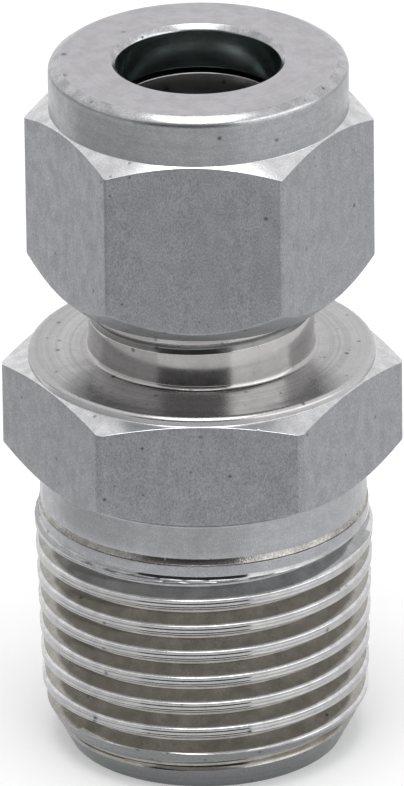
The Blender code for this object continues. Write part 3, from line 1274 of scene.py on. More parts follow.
FINISHES: dict[Zone, SteelFinish] = {
    Zone.FLAT: SteelFinish(
        "satin_flats", (0.350, 0.355, 0.375), 0.34, grain=0.004 * MM, grain_size=0.085 * MM,
        stretch=1.6, grain_tone=0.36, mottle=0.12, pits=0.015 * MM, pit_spacing=0.6 * MM,
        pit_share=0.09,
    ),
    Zone.CROWN: SteelFinish(
        "turned_crown", (0.400, 0.405, 0.422), 0.30, rings=0.0012 * MM, ring_tone=0.08,
        grain=0.002 * MM, grain_size=0.09 * MM, grain_tone=0.24, mottle=0.12, pits=0.02 * MM,
        pit_spacing=0.7 * MM, pit_share=0.03,
    ),
    Zone.FACE: SteelFinish(
        "faced_top", (0.520, 0.508, 0.535), 0.32, rings=0.0008 * MM, ring_tone=0.06,
        grain=0.002 * MM, grain_size=0.10 * MM, grain_tone=0.14, mottle=0.12, pits=0.012 * MM,
        pit_spacing=1.2 * MM, pit_share=0.06,
    ),
    Zone.EDGE: SteelFinish(
        "burnished_edges", (0.56, 0.56, 0.58), 0.22, grain=0.003 * MM, grain_tone=0.2,
        mottle=0.30, pits=0.03 * MM, pit_spacing=0.6 * MM, pit_share=0.2,
    ),
    Zone.SHOULDER: SteelFinish(
        "turned_shoulder", (0.53, 0.52, 0.525), 0.26, rings=0.0016 * MM, spacing=0.09 * MM,
        ring_tone=0.22, waver=0.5, grain_tone=0.10, mottle=0.05,
    ),
    Zone.NECK: SteelFinish(
        "polished_neck", (0.50, 0.49, 0.485), 0.13, rings=0.0008 * MM, ring_tone=0.08,
        grain_tone=0.10, mottle=0.08,
    ),
    Zone.SHANK: SteelFinish(
        "turned_shank", (0.42, 0.424, 0.442), 0.28, rings=0.0010 * MM, ring_tone=0.06,
        grain=0.0025 * MM, grain_size=0.09 * MM, grain_tone=0.22, mottle=0.10, pits=0.02 * MM,
        pit_spacing=1.2 * MM, pit_share=0.06,
    ),
    Zone.RELIEF: SteelFinish(
        "rough_relief", (0.50, 0.485, 0.465), 0.20, grain=0.010 * MM, grain_tone=0.35,
        mottle=0.3, pits=0.03 * MM, pit_spacing=0.4 * MM, pit_share=0.3,
    ),
    Zone.THREAD: SteelFinish(
        "cut_thread", (0.42, 0.425, 0.432), 0.13, rings=0.0006 * MM, grain=0.0015 * MM,
        grain_tone=0.18, mottle=0.20, pits=0.012 * MM, pit_spacing=0.7 * MM, pit_share=0.05,
        low_tone=(0.41, 0.395, 0.367),
    ),
    Zone.CREST: SteelFinish(
        "rolled_crests", (0.47, 0.47, 0.475), 0.10, grain=0.0008 * MM, grain_tone=0.12,
        mottle=0.15,
    ),
    Zone.SKIRT: SteelFinish(
        "satin_skirt", (0.52, 0.53, 0.545), 0.5, grain=0.004 * MM, grain_size=0.085 * MM,
        grain_tone=0.36, mottle=0.1,
    ),
    # Brighter than steel: burnished chamfers and crest lips, whose bright colour is partly a
    # painted highlight
    Zone.LIP: SteelFinish(
        "burnished_chamfers_painted_highlight", (0.75, 0.75, 0.765), 0.20, grain=0.002 * MM, grain_tone=0.16,
        mottle=0.22, pits=0.02 * MM, pit_spacing=0.6 * MM, pit_share=0.10,
    ),
    # Darker than the neck: painted shade in the groove under the nut, over real turning marks
    Zone.RUNOUT: SteelFinish(
        "run_out_groove_painted_shade", (0.23, 0.235, 0.23), 0.24, rings=0.0010 * MM, ring_tone=0.3, mottle=0.15,
    ),
    # Darker than the thread: painted shade, standing for the shadowed floor that the end cone
    # reflects, over real turning marks
    Zone.END: SteelFinish(
        "turned_end_painted_shade", (0.265, 0.277, 0.28), 0.3, rings=0.0012 * MM, ring_tone=0.1, grain_tone=0.16,
    ),
    Zone.BORE: SteelFinish(
        "bored_inside", (0.44, 0.53, 0.52), 0.2, rings=0.0015 * MM, ring_tone=0.1,
        grain=0.003 * MM, grain_tone=0.2, mottle=0.2,
    ),
    Zone.RING: SteelFinish(
        "turned_rings", (0.46, 0.455, 0.45), 0.2, rings=0.001 * MM, ring_tone=0.08, mottle=0.1,
    ),
}


# Pieces


@dataclass
class FittingBody:
    """Body with its pipe thread, hexagon and threaded neck.

    Radii are measured from the axis and heights from the pipe end, unless it says otherwise.

    Attributes:
        bar: The hexagon bar that the body is turned from.
        gauge_radius: Radius over the crests of the pipe thread at the gauge height.
        gauge_height: Height at which the pipe thread has its standard diameter.
        front_crest: Height of a crest at the front.
        fade_start: Height at which the tool starts to leave the pipe thread.
        fade_length: Rise over which it leaves.
        thread_top: Height of the land's end, where the relief groove starts.
        relief_width: Height of the relief groove itself.
        relief_floor: Radius from which the groove's sloped floor is measured.
        shank: Radius of the shank at its foot.
        shank_rise: Distance between two rows of the shank.
        shank_fall: How much the radius shrinks from row to row.
        shank_top: Height where the shank meets the chamfer of the hexagon.
        low_chamfer: Angle of the hexagon's lower chamfer.
        hex_top: Height of the hexagon's upper end.
        top_chamfer: Angle of its upper chamfer.
        collar: Radius of the round collar over the hexagon.
        collar_top: Height of the collar's upper edge.
        shoulder: Radius of a place half way over the shoulder.
        shoulder_rise: Rise of the shoulder from the collar to the neck.
        neck: Radius of the plain neck, which is also the thread's trimming radius.
        neck_fillet: Radius of the fillet between shoulder and neck.
        runout_start: Height where the rows of the run-out groove start.
        runout_front: Height of a ridge beside the run-out groove at the front.
        runout_depth: Depth of the run-out groove.
        runout_shade: Depth from which on the groove has its darker colour, which is painted shade.
        neck_top: Height of the neck's end.
        mouth: Radius of the ferrule cone at the neck's end.
        seat: Height of the tube seat.
        flow: Radius of the bore that the fluid takes.
        bore_edge: Size of the chamfer on that bore.
        end: Radius of the pipe end.
        end_top: Height under which the end cone lies.
        end_skin: How far under the end cone a face still belongs to it.
        land: Radius of the plain land over the last crest.
        land_start: Height of the land's lower edge.
        last_crest: Height where the skin of the pipe thread ends.
        last_lip: Radius of the last crest at that height.
        last_edge: Height of the last crest's lower edge.
        last_band: Height from which on the last crest has the shank's finish.
        crest_depth: Depth down to which a face belongs to a crest.
        lip_depth: Depth down to which a face may belong to a crest's lip.
        lip_tilt: How upright the normal of a lip's face is at least.
        lip_top: Height under which lips are marked.
    """

    bar: HexagonBar = HexagonBar(22.0 * MM, 0.45 * MM)
    gauge_radius: float = 20.955 / 2.0 * MM
    gauge_height: float = 8.2 * MM
    front_crest: float = 13.61 * MM
    fade_start: float = 14.807 * MM
    fade_length: float = 0.562 * MM
    thread_top: float = 16.15 * MM
    relief_width: float = 0.48 * MM
    relief_floor: float = 10.04 * MM
    shank: float = 10.32 * MM
    shank_rise: float = 0.30 * MM
    shank_fall: float = 0.02 * MM
    shank_top: float = 18.92 * MM
    low_chamfer: float = math.radians(28.0)
    hex_top: float = 26.06 * MM
    top_chamfer: float = math.radians(20.0)
    collar: float = 10.92 * MM
    collar_top: float = 26.60 * MM
    shoulder: float = 9.2 * MM
    shoulder_rise: float = 0.14 * MM
    neck: float = 7.099 * MM
    neck_fillet: float = 0.36 * MM
    runout_start: float = 28.80 * MM
    runout_front: float = 28.925 * MM
    runout_depth: float = 0.16 * MM
    runout_shade: float = 0.05 * MM
    neck_top: float = 39.40 * MM
    mouth: float = 6.15 * MM
    seat: float = 29.10 * MM
    flow: float = 3.95 * MM
    bore_edge: float = 0.30 * MM
    end: float = 8.69 * MM
    end_top: float = 3.0 * MM
    end_skin: float = 0.012 * MM
    land: float = 10.40 * MM
    land_start: float = 15.51 * MM
    last_crest: float = 15.45 * MM
    last_lip: float = 10.41 * MM
    last_edge: float = 15.25 * MM
    last_band: float = 15.12 * MM
    crest_depth: float = 0.20 * MM
    lip_depth: float = 0.16 * MM
    lip_tilt: float = 0.5
    lip_top: float = 15.1 * MM

    def pipe_radius(self, height: float) -> float:
        """Radius over the crests of the taper thread at a height."""
        return self.gauge_radius - self.gauge_height * PIPE_TAPER + height * PIPE_TAPER

    def pipe_thread(self) -> ScrewThread:
        """Sizes of the taper pipe thread.

        Returns:
            The thread, with a crest at its known height at the front.
        """
        return ScrewThread(
            pitch=PIPE_PITCH,
            depth=1.03 * MM,
            half_root=0.10 * MM,
            flank=PIPE_ANGLE,
            crest_radius=self.pipe_radius(0.0),
            taper=PIPE_TAPER,
            crest_at_start=self.front_crest + PIPE_PITCH * 0.25,
            start_angle=0.0,
            bottom=0.0,
            top=self.last_crest,
            bottom_limit=self.end,
            bottom_slope=math.tan(PIPE_ANGLE),
            top_limit=self.last_lip,
            top_slope=2.0,
            land=self.last_edge,
            fade_start=self.fade_start,
            fade_length=self.fade_length,
            edge_round=0.12 * MM,
            dish=0.042 * MM,
            lip_slope=0.30,
            rows=26,
        )

    def union_thread(self) -> ScrewThread:
        """Sizes of the straight thread on the neck.

        Returns:
            The thread, which ends in a chamfer at both ends and doesn't fade.
        """
        depth = 0.613 * UNION_PITCH
        crest_flat = 0.13 * MM
        return ScrewThread(
            pitch=UNION_PITCH,
            depth=depth,
            half_root=(UNION_PITCH - crest_flat) / 2.0 - depth * math.tan(UNION_ANGLE),
            flank=UNION_ANGLE,
            crest_radius=15.875 / 2.0 * MM,
            taper=0.0,
            crest_at_start=UNION_START + UNION_PITCH * 0.5,
            start_angle=0.0,
            bottom=UNION_START,
            top=self.neck_top,
            bottom_limit=self.neck,
            bottom_slope=1.0,
            top_limit=self.neck,
            top_slope=1.0,
            land=self.neck_top,
            fade_start=1.0,
            fade_length=1.0,
            edge_round=0.025 * MM,
        )

    def thread_runout(self) -> ScrewThread:
        """Sizes of the shallow groove that the tool leaves on the neck below the thread.

        Returns:
            The groove, as a thread that fades downwards.
        """
        return ScrewThread(
            pitch=UNION_PITCH,
            depth=self.runout_depth,
            half_root=0.12 * MM,
            flank=math.radians(45.0),
            crest_radius=self.neck,
            taper=0.0,
            crest_at_start=self.runout_front + UNION_PITCH * 0.25,
            start_angle=0.0,
            bottom=self.runout_start,
            top=UNION_START,
            bottom_limit=self.neck,
            bottom_slope=0.0,
            top_limit=self.neck,
            top_slope=0.0,
            land=UNION_START,
            fade_start=29.27 * MM,
            fade_length=-0.12 * MM,
            edge_round=0.03 * MM,
            rows=16,
        )

    def _mark_pipe(self, mesh: bpy.types.Mesh) -> None:
        """Mark the faces of the crests, the last crest, the crests' lips and the end cone.

        Args:
            mesh: Skin of the pipe thread.
        """
        slope = math.tan(PIPE_ANGLE)
        for face in mesh.polygons:
            height = face.center.z
            reach = face.center.xy.length
            below = self.pipe_radius(height) - reach
            tilted = abs(face.normal.z) > self.lip_tilt
            if below < self.crest_depth or height > self.last_edge:
                face.material_index = Zone.CREST.value
            if below < self.crest_depth and self.last_band < height < self.last_edge:
                face.material_index = Zone.SHANK.value
            # Lips that tilt towards the lamps get a colour brighter than steel: partly burnished,
            # partly a painted highlight
            if below < self.lip_depth and height < self.lip_top and tilted:
                face.material_index = Zone.LIP.value
            # The end cone's darker colour is painted shade
            if height < self.end_top and reach > self.end + slope * height - self.end_skin:
                face.material_index = Zone.END.value

    def _mark_runout(self, mesh: bpy.types.Mesh) -> None:
        """Mark the faces inside the run-out groove, whose darker colour is painted shade under the
        nut.

        Args:
            mesh: Skin of the run-out.
        """
        for face in mesh.polygons:
            if face.center.xy.length < self.neck - self.runout_shade:
                face.material_index = Zone.RUNOUT.value

    def _relief_outline(self) -> Outline:
        """Outline of the land over the last crest and of the relief groove.

        Returns:
            The outline, up to the foot of the shank.
        """
        relief_top = self.thread_top + self.relief_width
        outline = Outline(Zone.CREST)
        outline.add(self.last_lip, self.last_crest)
        outline.add(self.land, self.land_start, 0.03 * MM, Zone.SHANK)
        outline.add(self.land, self.thread_top, 0.03 * MM, Zone.RELIEF)
        outline.add(self.relief_floor + 0.24 * MM, self.thread_top + 0.04 * MM, 0.03 * MM)
        outline.add(self.relief_floor + 0.08 * MM, relief_top - 0.05 * MM, 0.05 * MM)
        outline.add(self.shank, relief_top, 0.06 * MM, Zone.SHANK)
        outline.add(self.shank, relief_top + 0.12 * MM)
        return outline

    def _shank_points(self) -> list[Point]:
        """Points of the shank, which narrows a little upwards.

        Returns:
            The points, over which the columns gather at the hexagon's corners.
        """
        foot = self.thread_top + self.relief_width + self.shank_rise
        return [
            (self.shank - self.shank_fall * step, foot + self.shank_rise * step)
            for step in range(GATHER_ROWS + 1)
        ]

    def _bar_outline(self, angle: float) -> Outline:
        """Outline of the hexagon and the collar in one direction.

        Args:
            angle: Direction about the axis.

        Returns:
            The outline, from the shank to the top of the collar.
        """
        reach = self.bar.radius(angle)
        low = self.shank_top + (reach - self.shank) * math.tan(self.low_chamfer)
        high = self.hex_top - (reach - self.collar) * math.tan(self.top_chamfer)
        outline = Outline(Zone.SHANK)
        outline.add(self.shank - 0.12 * MM, self.shank_top - 0.45 * MM)
        outline.add(self.shank - 0.12 * MM, self.shank_top - 0.08 * MM, 0.15 * MM)
        outline.add(reach, low, 0.10 * MM, Zone.FLAT)
        outline.add(reach, low + 0.14 * MM)
        outline.add(reach, (low + high) / 2.0)
        outline.add(reach, high - 0.10 * MM)
        # The upper chamfer gets the lips' bright colour, partly a painted highlight
        outline.add(reach, high, 0.07 * MM, Zone.LIP)
        outline.add(self.collar, self.hex_top, 0.04 * MM, Zone.SHOULDER)
        outline.add(self.collar, self.collar_top - 0.16 * MM, 0.12 * MM)
        outline.add(self.collar - 0.26 * MM, self.collar_top, 0.12 * MM)
        outline.add(self.collar - 0.5 * MM, self.collar_top)
        return outline

    def _shoulder_points(self, steps: int = 8) -> list[Point]:
        """Points of the shoulder and of the fillet between it and the neck.

        Args:
            steps: Number of segments of the fillet.

        Returns:
            The points, from the collar to the neck.
        """
        foot = self.collar_top + self.shoulder_rise
        points = [
            (self.collar - 0.8 * MM, self.collar_top + 0.03 * MM),
            (self.shoulder, self.collar_top + 0.10 * MM),
            (self.neck + self.neck_fillet, foot),
        ]
        for step in range(1, steps + 1):
            turn = math.radians(270.0 - 90.0 * step / steps)
            points.append(
                (
                    self.neck + self.neck_fillet * (1.0 + math.cos(turn)),
                    foot + self.neck_fillet * (1.0 + math.sin(turn)),
                )
            )
        return points

    def _outer_skin(self) -> bmesh.types.BMesh:
        """Skin from the top of the pipe thread to the foot of the neck's thread.

        Returns:
            The skin.
        """
        rows = SkinRows()
        relief = self._relief_outline()
        rows.turned(relief.rounded(), relief.bands())
        shank = self._shank_points()
        shares = [step / GATHER_ROWS for step in range(GATHER_ROWS + 1)]
        rows.turned(shank, [Zone.SHANK] * len(shank), shares)
        rows.follow([self._bar_outline(angle) for angle in self.bar.angles()])
        neck = self._shoulder_points()
        foot = self.collar_top + self.shoulder_rise + self.neck_fillet
        neck += [
            (self.neck, foot + 0.8 * MM),
            (self.neck, self.runout_start - 0.1 * MM),
            (self.neck, self.runout_start),
        ]
        zones = [Zone.SHOULDER] * 5 + [Zone.NECK] * (len(neck) - 5)
        rows.turned(neck, zones, [0.75, 0.5, 0.25] + [0.0] * (len(neck) - 3))
        return rows.skin(LatheGrid(), self.bar)

    def _inner_skin(self) -> bmesh.types.BMesh:
        """Skin from the top of the neck down the bore to the pipe end.

        Returns:
            The skin.
        """
        cone_height = (self.mouth - SOCKET_RADIUS) / math.tan(MOUTH_ANGLE)
        inner = Outline(Zone.RING)
        inner.add(self.neck, self.neck_top)
        inner.add(self.neck - 0.1 * MM, self.neck_top)
        inner.add(self.mouth, self.neck_top, 0.06 * MM)
        inner.add(SOCKET_RADIUS, self.neck_top - cone_height, 0.05 * MM)
        inner.add(SOCKET_RADIUS, self.seat, 0.0, Zone.BORE)
        inner.add(self.flow, self.seat, 0.10 * MM)
        inner.add(self.flow, 20.0 * MM)
        inner.add(self.flow, 10.0 * MM)
        inner.add(self.flow, self.bore_edge, 0.05 * MM)
        inner.add(self.flow + self.bore_edge, 0.0, 0.05 * MM, Zone.FACE)
        inner.add(6.4 * MM, 0.0)
        inner.add(self.end - 0.1 * MM, 0.0)
        inner.add(self.end, 0.0)
        return turned_skin(inner)

    def build(
        self, threads: ThreadTree, finishes: dict[Zone, bpy.types.Material]
    ) -> bpy.types.Object:
        """Build the body.

        Args:
            threads: The tree that makes threads.
            finishes: Material of each zone.

        Returns:
            The finished piece.
        """
        skins = [self._outer_skin(), self._inner_skin()]
        cut = finishes[Zone.THREAD]
        pipe = self.pipe_thread().skin(threads, cut)
        self._mark_pipe(pipe)
        runout = self.thread_runout().skin(threads, finishes[Zone.NECK], Zone.NECK)
        self._mark_runout(runout)
        coils = [pipe, self.union_thread().skin(threads, cut), runout]
        return finish_piece("fitting_body_steel", skins, coils, finishes)


@dataclass
class UnionNut:
    """Nut with its hexagon, plain crown and inner thread.

    Attributes:
        bar: The hexagon bar that the nut is turned from, with its turn against the body.
        base: Height of the nut's lower face above the pipe end.
        length: Height of the nut itself.
        base_radius: Outer radius of the lower face.
        entry: Radius of the inner thread's roots, and of its mouth.
        minor: Radius of the inner thread's crests.
        low_chamfer: Angle of the hexagon's lower chamfer.
        top_chamfer: Angle of its upper chamfer.
        crown: Radius of the round crown.
        crown_height: Height of the crown itself.
        crown_rise: Distance between two rows of the crown.
        edge_width: Width of the crown's bevelled edge.
        edge_height: Height of that edge.
        bore: Radius of the bore for the tube.
        bore_edge: Size of the chamfer on that bore.
        land: Length of the bore's plain part.
        shoulder: Angle of the cone that presses on the rear ferrule.
        cavity: Radius of the room for the ferrules.
        cavity_depth: Length of the room's plain part.
        thread_top: Length of the inner thread.
        thread_fade: Length over which it ends.
    """

    bar: HexagonBar = HexagonBar(19.0 * MM, 0.20 * MM, math.radians(-1.4))
    base: float = 30.75 * MM
    length: float = 15.55 * MM
    base_radius: float = 8.4275 * MM
    entry: float = 8.0775 * MM
    minor: float = 7.355 * MM
    low_chamfer: float = math.radians(41.5)
    top_chamfer: float = math.radians(30.0)
    crown: float = 9.385 * MM
    crown_height: float = 3.22 * MM
    crown_rise: float = 0.33 * MM
    edge_width: float = 0.67 * MM
    edge_height: float = 0.39 * MM
    bore: float = 5.15 * MM
    bore_edge: float = 0.34 * MM
    land: float = 2.54 * MM
    shoulder: float = NUT_CONE_ANGLE
    cavity: float = 6.9 * MM
    cavity_depth: float = 2.20 * MM
    thread_top: float = 9.20 * MM
    thread_fade: float = 0.27 * MM

    def inner_thread(self) -> ScrewThread:
        """Sizes of the thread in the nut, which follows the ridges of the neck's thread.

        Returns:
            The thread, which is cut on the inner side of the wall.
        """
        clearance = 0.14 * MM
        ridge_half = 0.065 * MM + 0.09 * MM
        thread_top = self.base + self.thread_top
        return ScrewThread(
            pitch=UNION_PITCH,
            depth=self.entry - self.minor,
            half_root=max(0.02 * MM, ridge_half - clearance * math.tan(UNION_ANGLE)),
            flank=UNION_ANGLE,
            crest_radius=self.minor,
            taper=0.0,
            crest_at_start=UNION_START + UNION_PITCH * self.bar.turn / math.tau,
            start_angle=self.bar.turn,
            bottom=self.base,
            top=thread_top + self.thread_fade,
            bottom_limit=self.entry,
            bottom_slope=1.0,
            top_limit=self.minor,
            top_slope=0.0,
            land=thread_top,
            fade_start=thread_top - 1.2 * MM,
            fade_length=0.8 * MM,
            side=Side.INNER,
            edge_round=0.025 * MM,
        )

    def _bar_outline(self, angle: float) -> Outline:
        """Outline of the base and the hexagon in one direction.

        Args:
            angle: Direction about the axis.

        Returns:
            The outline, from the entry of the thread to the foot of the crown.
        """
        reach = self.bar.radius(angle)
        crown_base = self.base + self.length - self.crown_height
        low = self.base + (reach - self.base_radius) * math.tan(self.low_chamfer)
        high = crown_base - (reach - self.crown) * math.tan(self.top_chamfer)
        outline = Outline(Zone.RING)
        outline.add(self.entry + 0.10 * MM, self.base)
        outline.add(self.base_radius, self.base, 0.10 * MM, Zone.SKIRT)
        outline.add(reach, low, 0.13 * MM, Zone.FLAT)
        outline.add(reach, low + 0.75 * MM)
        outline.add(reach, (low + high) / 2.0)
        outline.add(reach, high - 0.10 * MM)
        # The upper chamfer gets the lips' bright colour, partly a painted highlight
        outline.add(reach, high, 0.06 * MM, Zone.LIP)
        outline.add(self.crown, crown_base, 0.05 * MM, Zone.CROWN)
        outline.add(self.crown, crown_base + 0.10 * MM)
        return outline

    def _top_outline(self) -> Outline:
        """Outline of the crown's edge, the top face, the bore and the cavity.

        Returns:
            The outline, down to the end of the inner thread.
        """
        top = self.base + self.length
        face_edge = self.crown - self.edge_width
        bore_rim = self.bore + self.bore_edge
        land_bottom = top - self.bore_edge - self.land
        shoulder_bottom = land_bottom - (self.cavity - self.bore) * math.tan(self.shoulder)
        cavity_bottom = shoulder_bottom - self.cavity_depth
        outline = Outline(Zone.CROWN)
        outline.add(self.crown, top - self.edge_height - 0.72 * MM)
        outline.add(self.crown, top - self.edge_height, 0.32 * MM, Zone.EDGE)
        outline.add(face_edge, top, 0.14 * MM, Zone.FACE)
        outline.add(face_edge - 0.3 * MM, top)
        outline.add(bore_rim + 0.2 * MM, top)
        outline.add(bore_rim, top, 0.09 * MM, Zone.EDGE)
        outline.add(self.bore, top - self.bore_edge, 0.09 * MM, Zone.BORE)
        outline.add(self.bore, land_bottom, 0.09 * MM, Zone.EDGE)
        outline.add(self.cavity, shoulder_bottom, 0.05 * MM, Zone.BORE)
        outline.add(self.cavity, cavity_bottom)
        outline.add(self.minor, cavity_bottom - abs(self.minor - self.cavity))
        outline.add(self.minor, self.base + self.thread_top + self.thread_fade)
        return outline

    def _skin(self) -> bmesh.types.BMesh:
        """Skin from the entry of the thread round the outside and back down the bore.

        Returns:
            The skin.
        """
        rows = SkinRows()
        entry = [(self.entry, self.base), (self.entry + 0.06 * MM, self.base)]
        rows.turned(entry, [Zone.RING] * len(entry))
        rows.follow([self._bar_outline(angle) for angle in self.bar.angles()])
        foot = self.base + self.length - self.crown_height + 0.10 * MM
        steps = range(1, GATHER_ROWS + 1)
        crown = [(self.crown, foot + self.crown_rise * step) for step in steps]
        shares = [1.0 - step / GATHER_ROWS for step in steps]
        rows.turned(crown, [Zone.CROWN] * len(crown), shares)
        top = self._top_outline()
        rows.turned(top.rounded(), top.bands())
        return rows.skin(LatheGrid(self.bar.turn), self.bar)

    def build(
        self, threads: ThreadTree, finishes: dict[Zone, bpy.types.Material]
    ) -> bpy.types.Object:
        """Build the nut.

        Args:
            threads: The tree that makes threads.
            finishes: Material of each zone.

        Returns:
            The finished piece.
        """
        coil = self.inner_thread().skin(threads, finishes[Zone.THREAD])
        return finish_piece("union_nut_steel", [self._skin()], [coil], finishes)


@dataclass
class Ferrules:
    """The front and the rear ferrule between body and nut, in the boxes of their nodes.

    Attributes:
        outer: Outer radius of both.
        recess: Radius of the front ferrule's hollow back at its rim.
        recess_depth: Depth of that hollow.
        gap: Room between the two, because they aren't pressed together yet.
        front_nose: Wall of the front ferrule at its nose.
        rear_nose: Wall of the rear ferrule at its nose.
    """

    outer: float = 6.40 * MM
    recess: float = 6.05 * MM
    recess_depth: float = 1.30 * MM
    gap: float = 0.30 * MM
    front_nose: float = 0.28 * MM
    rear_nose: float = 0.15 * MM

    def _front(self) -> Outline:
        """Closed outline of the front ferrule.

        Returns:
            The outline, from its nose round the outside and back.
        """
        low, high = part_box("front_ferrule")
        nose = SOCKET_RADIUS + self.front_nose
        cone_height = (self.outer - SOCKET_RADIUS - self.front_nose) / math.tan(MOUTH_ANGLE)
        front = Outline(Zone.RING)
        front.add(SOCKET_RADIUS, low.z)
        front.add(nose, low.z, 0.03 * MM)
        front.add(self.outer, low.z + cone_height, 0.05 * MM)
        front.add(self.outer, high.z, 0.05 * MM)
        front.add(self.recess, high.z, 0.04 * MM)
        front.add(SOCKET_RADIUS, high.z - self.recess_depth, 0.03 * MM)
        front.add(SOCKET_RADIUS, low.z)
        return front

    def _rear(self) -> Outline:
        """Closed outline of the rear ferrule, whose nose lies in the front one's recess.

        Returns:
            The outline, from its nose round the outside and back.
        """
        low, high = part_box("rear_ferrule")
        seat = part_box("front_ferrule")[1].z
        edge = high.z - (self.outer - SOCKET_RADIUS) * math.tan(NUT_CONE_ANGLE)
        slope = (self.recess - SOCKET_RADIUS) / self.recess_depth
        waist = self.recess - self.gap * math.hypot(1.0, slope)
        rear = Outline(Zone.RING)
        rear.add(SOCKET_RADIUS, low.z)
        rear.add(SOCKET_RADIUS + self.rear_nose, low.z, 0.03 * MM)
        rear.add(waist, seat, 0.03 * MM)
        rear.add(waist, seat + self.gap, 0.03 * MM)
        rear.add(self.outer, seat + self.gap, 0.05 * MM)
        rear.add(self.outer, edge, 0.06 * MM)
        rear.add(SOCKET_RADIUS, high.z, 0.10 * MM)
        rear.add(SOCKET_RADIUS, low.z)
        return rear

    def build(self, finishes: dict[Zone, bpy.types.Material]) -> dict[str, bpy.types.Object]:
        """Build both rings.

        Args:
            finishes: Material of each zone.

        Returns:
            The pieces by the name of the node each stands for.
        """
        made: dict[str, bpy.types.Object] = {}
        for node, name, outline in (
            ("front_ferrule", "front_ferrule_steel", self._front()),
            ("rear_ferrule", "rear_ferrule_steel", self._rear()),
        ):
            made[node] = finish_piece(name, [turned_skin(outline)], [], finishes)
        return made


# Studio


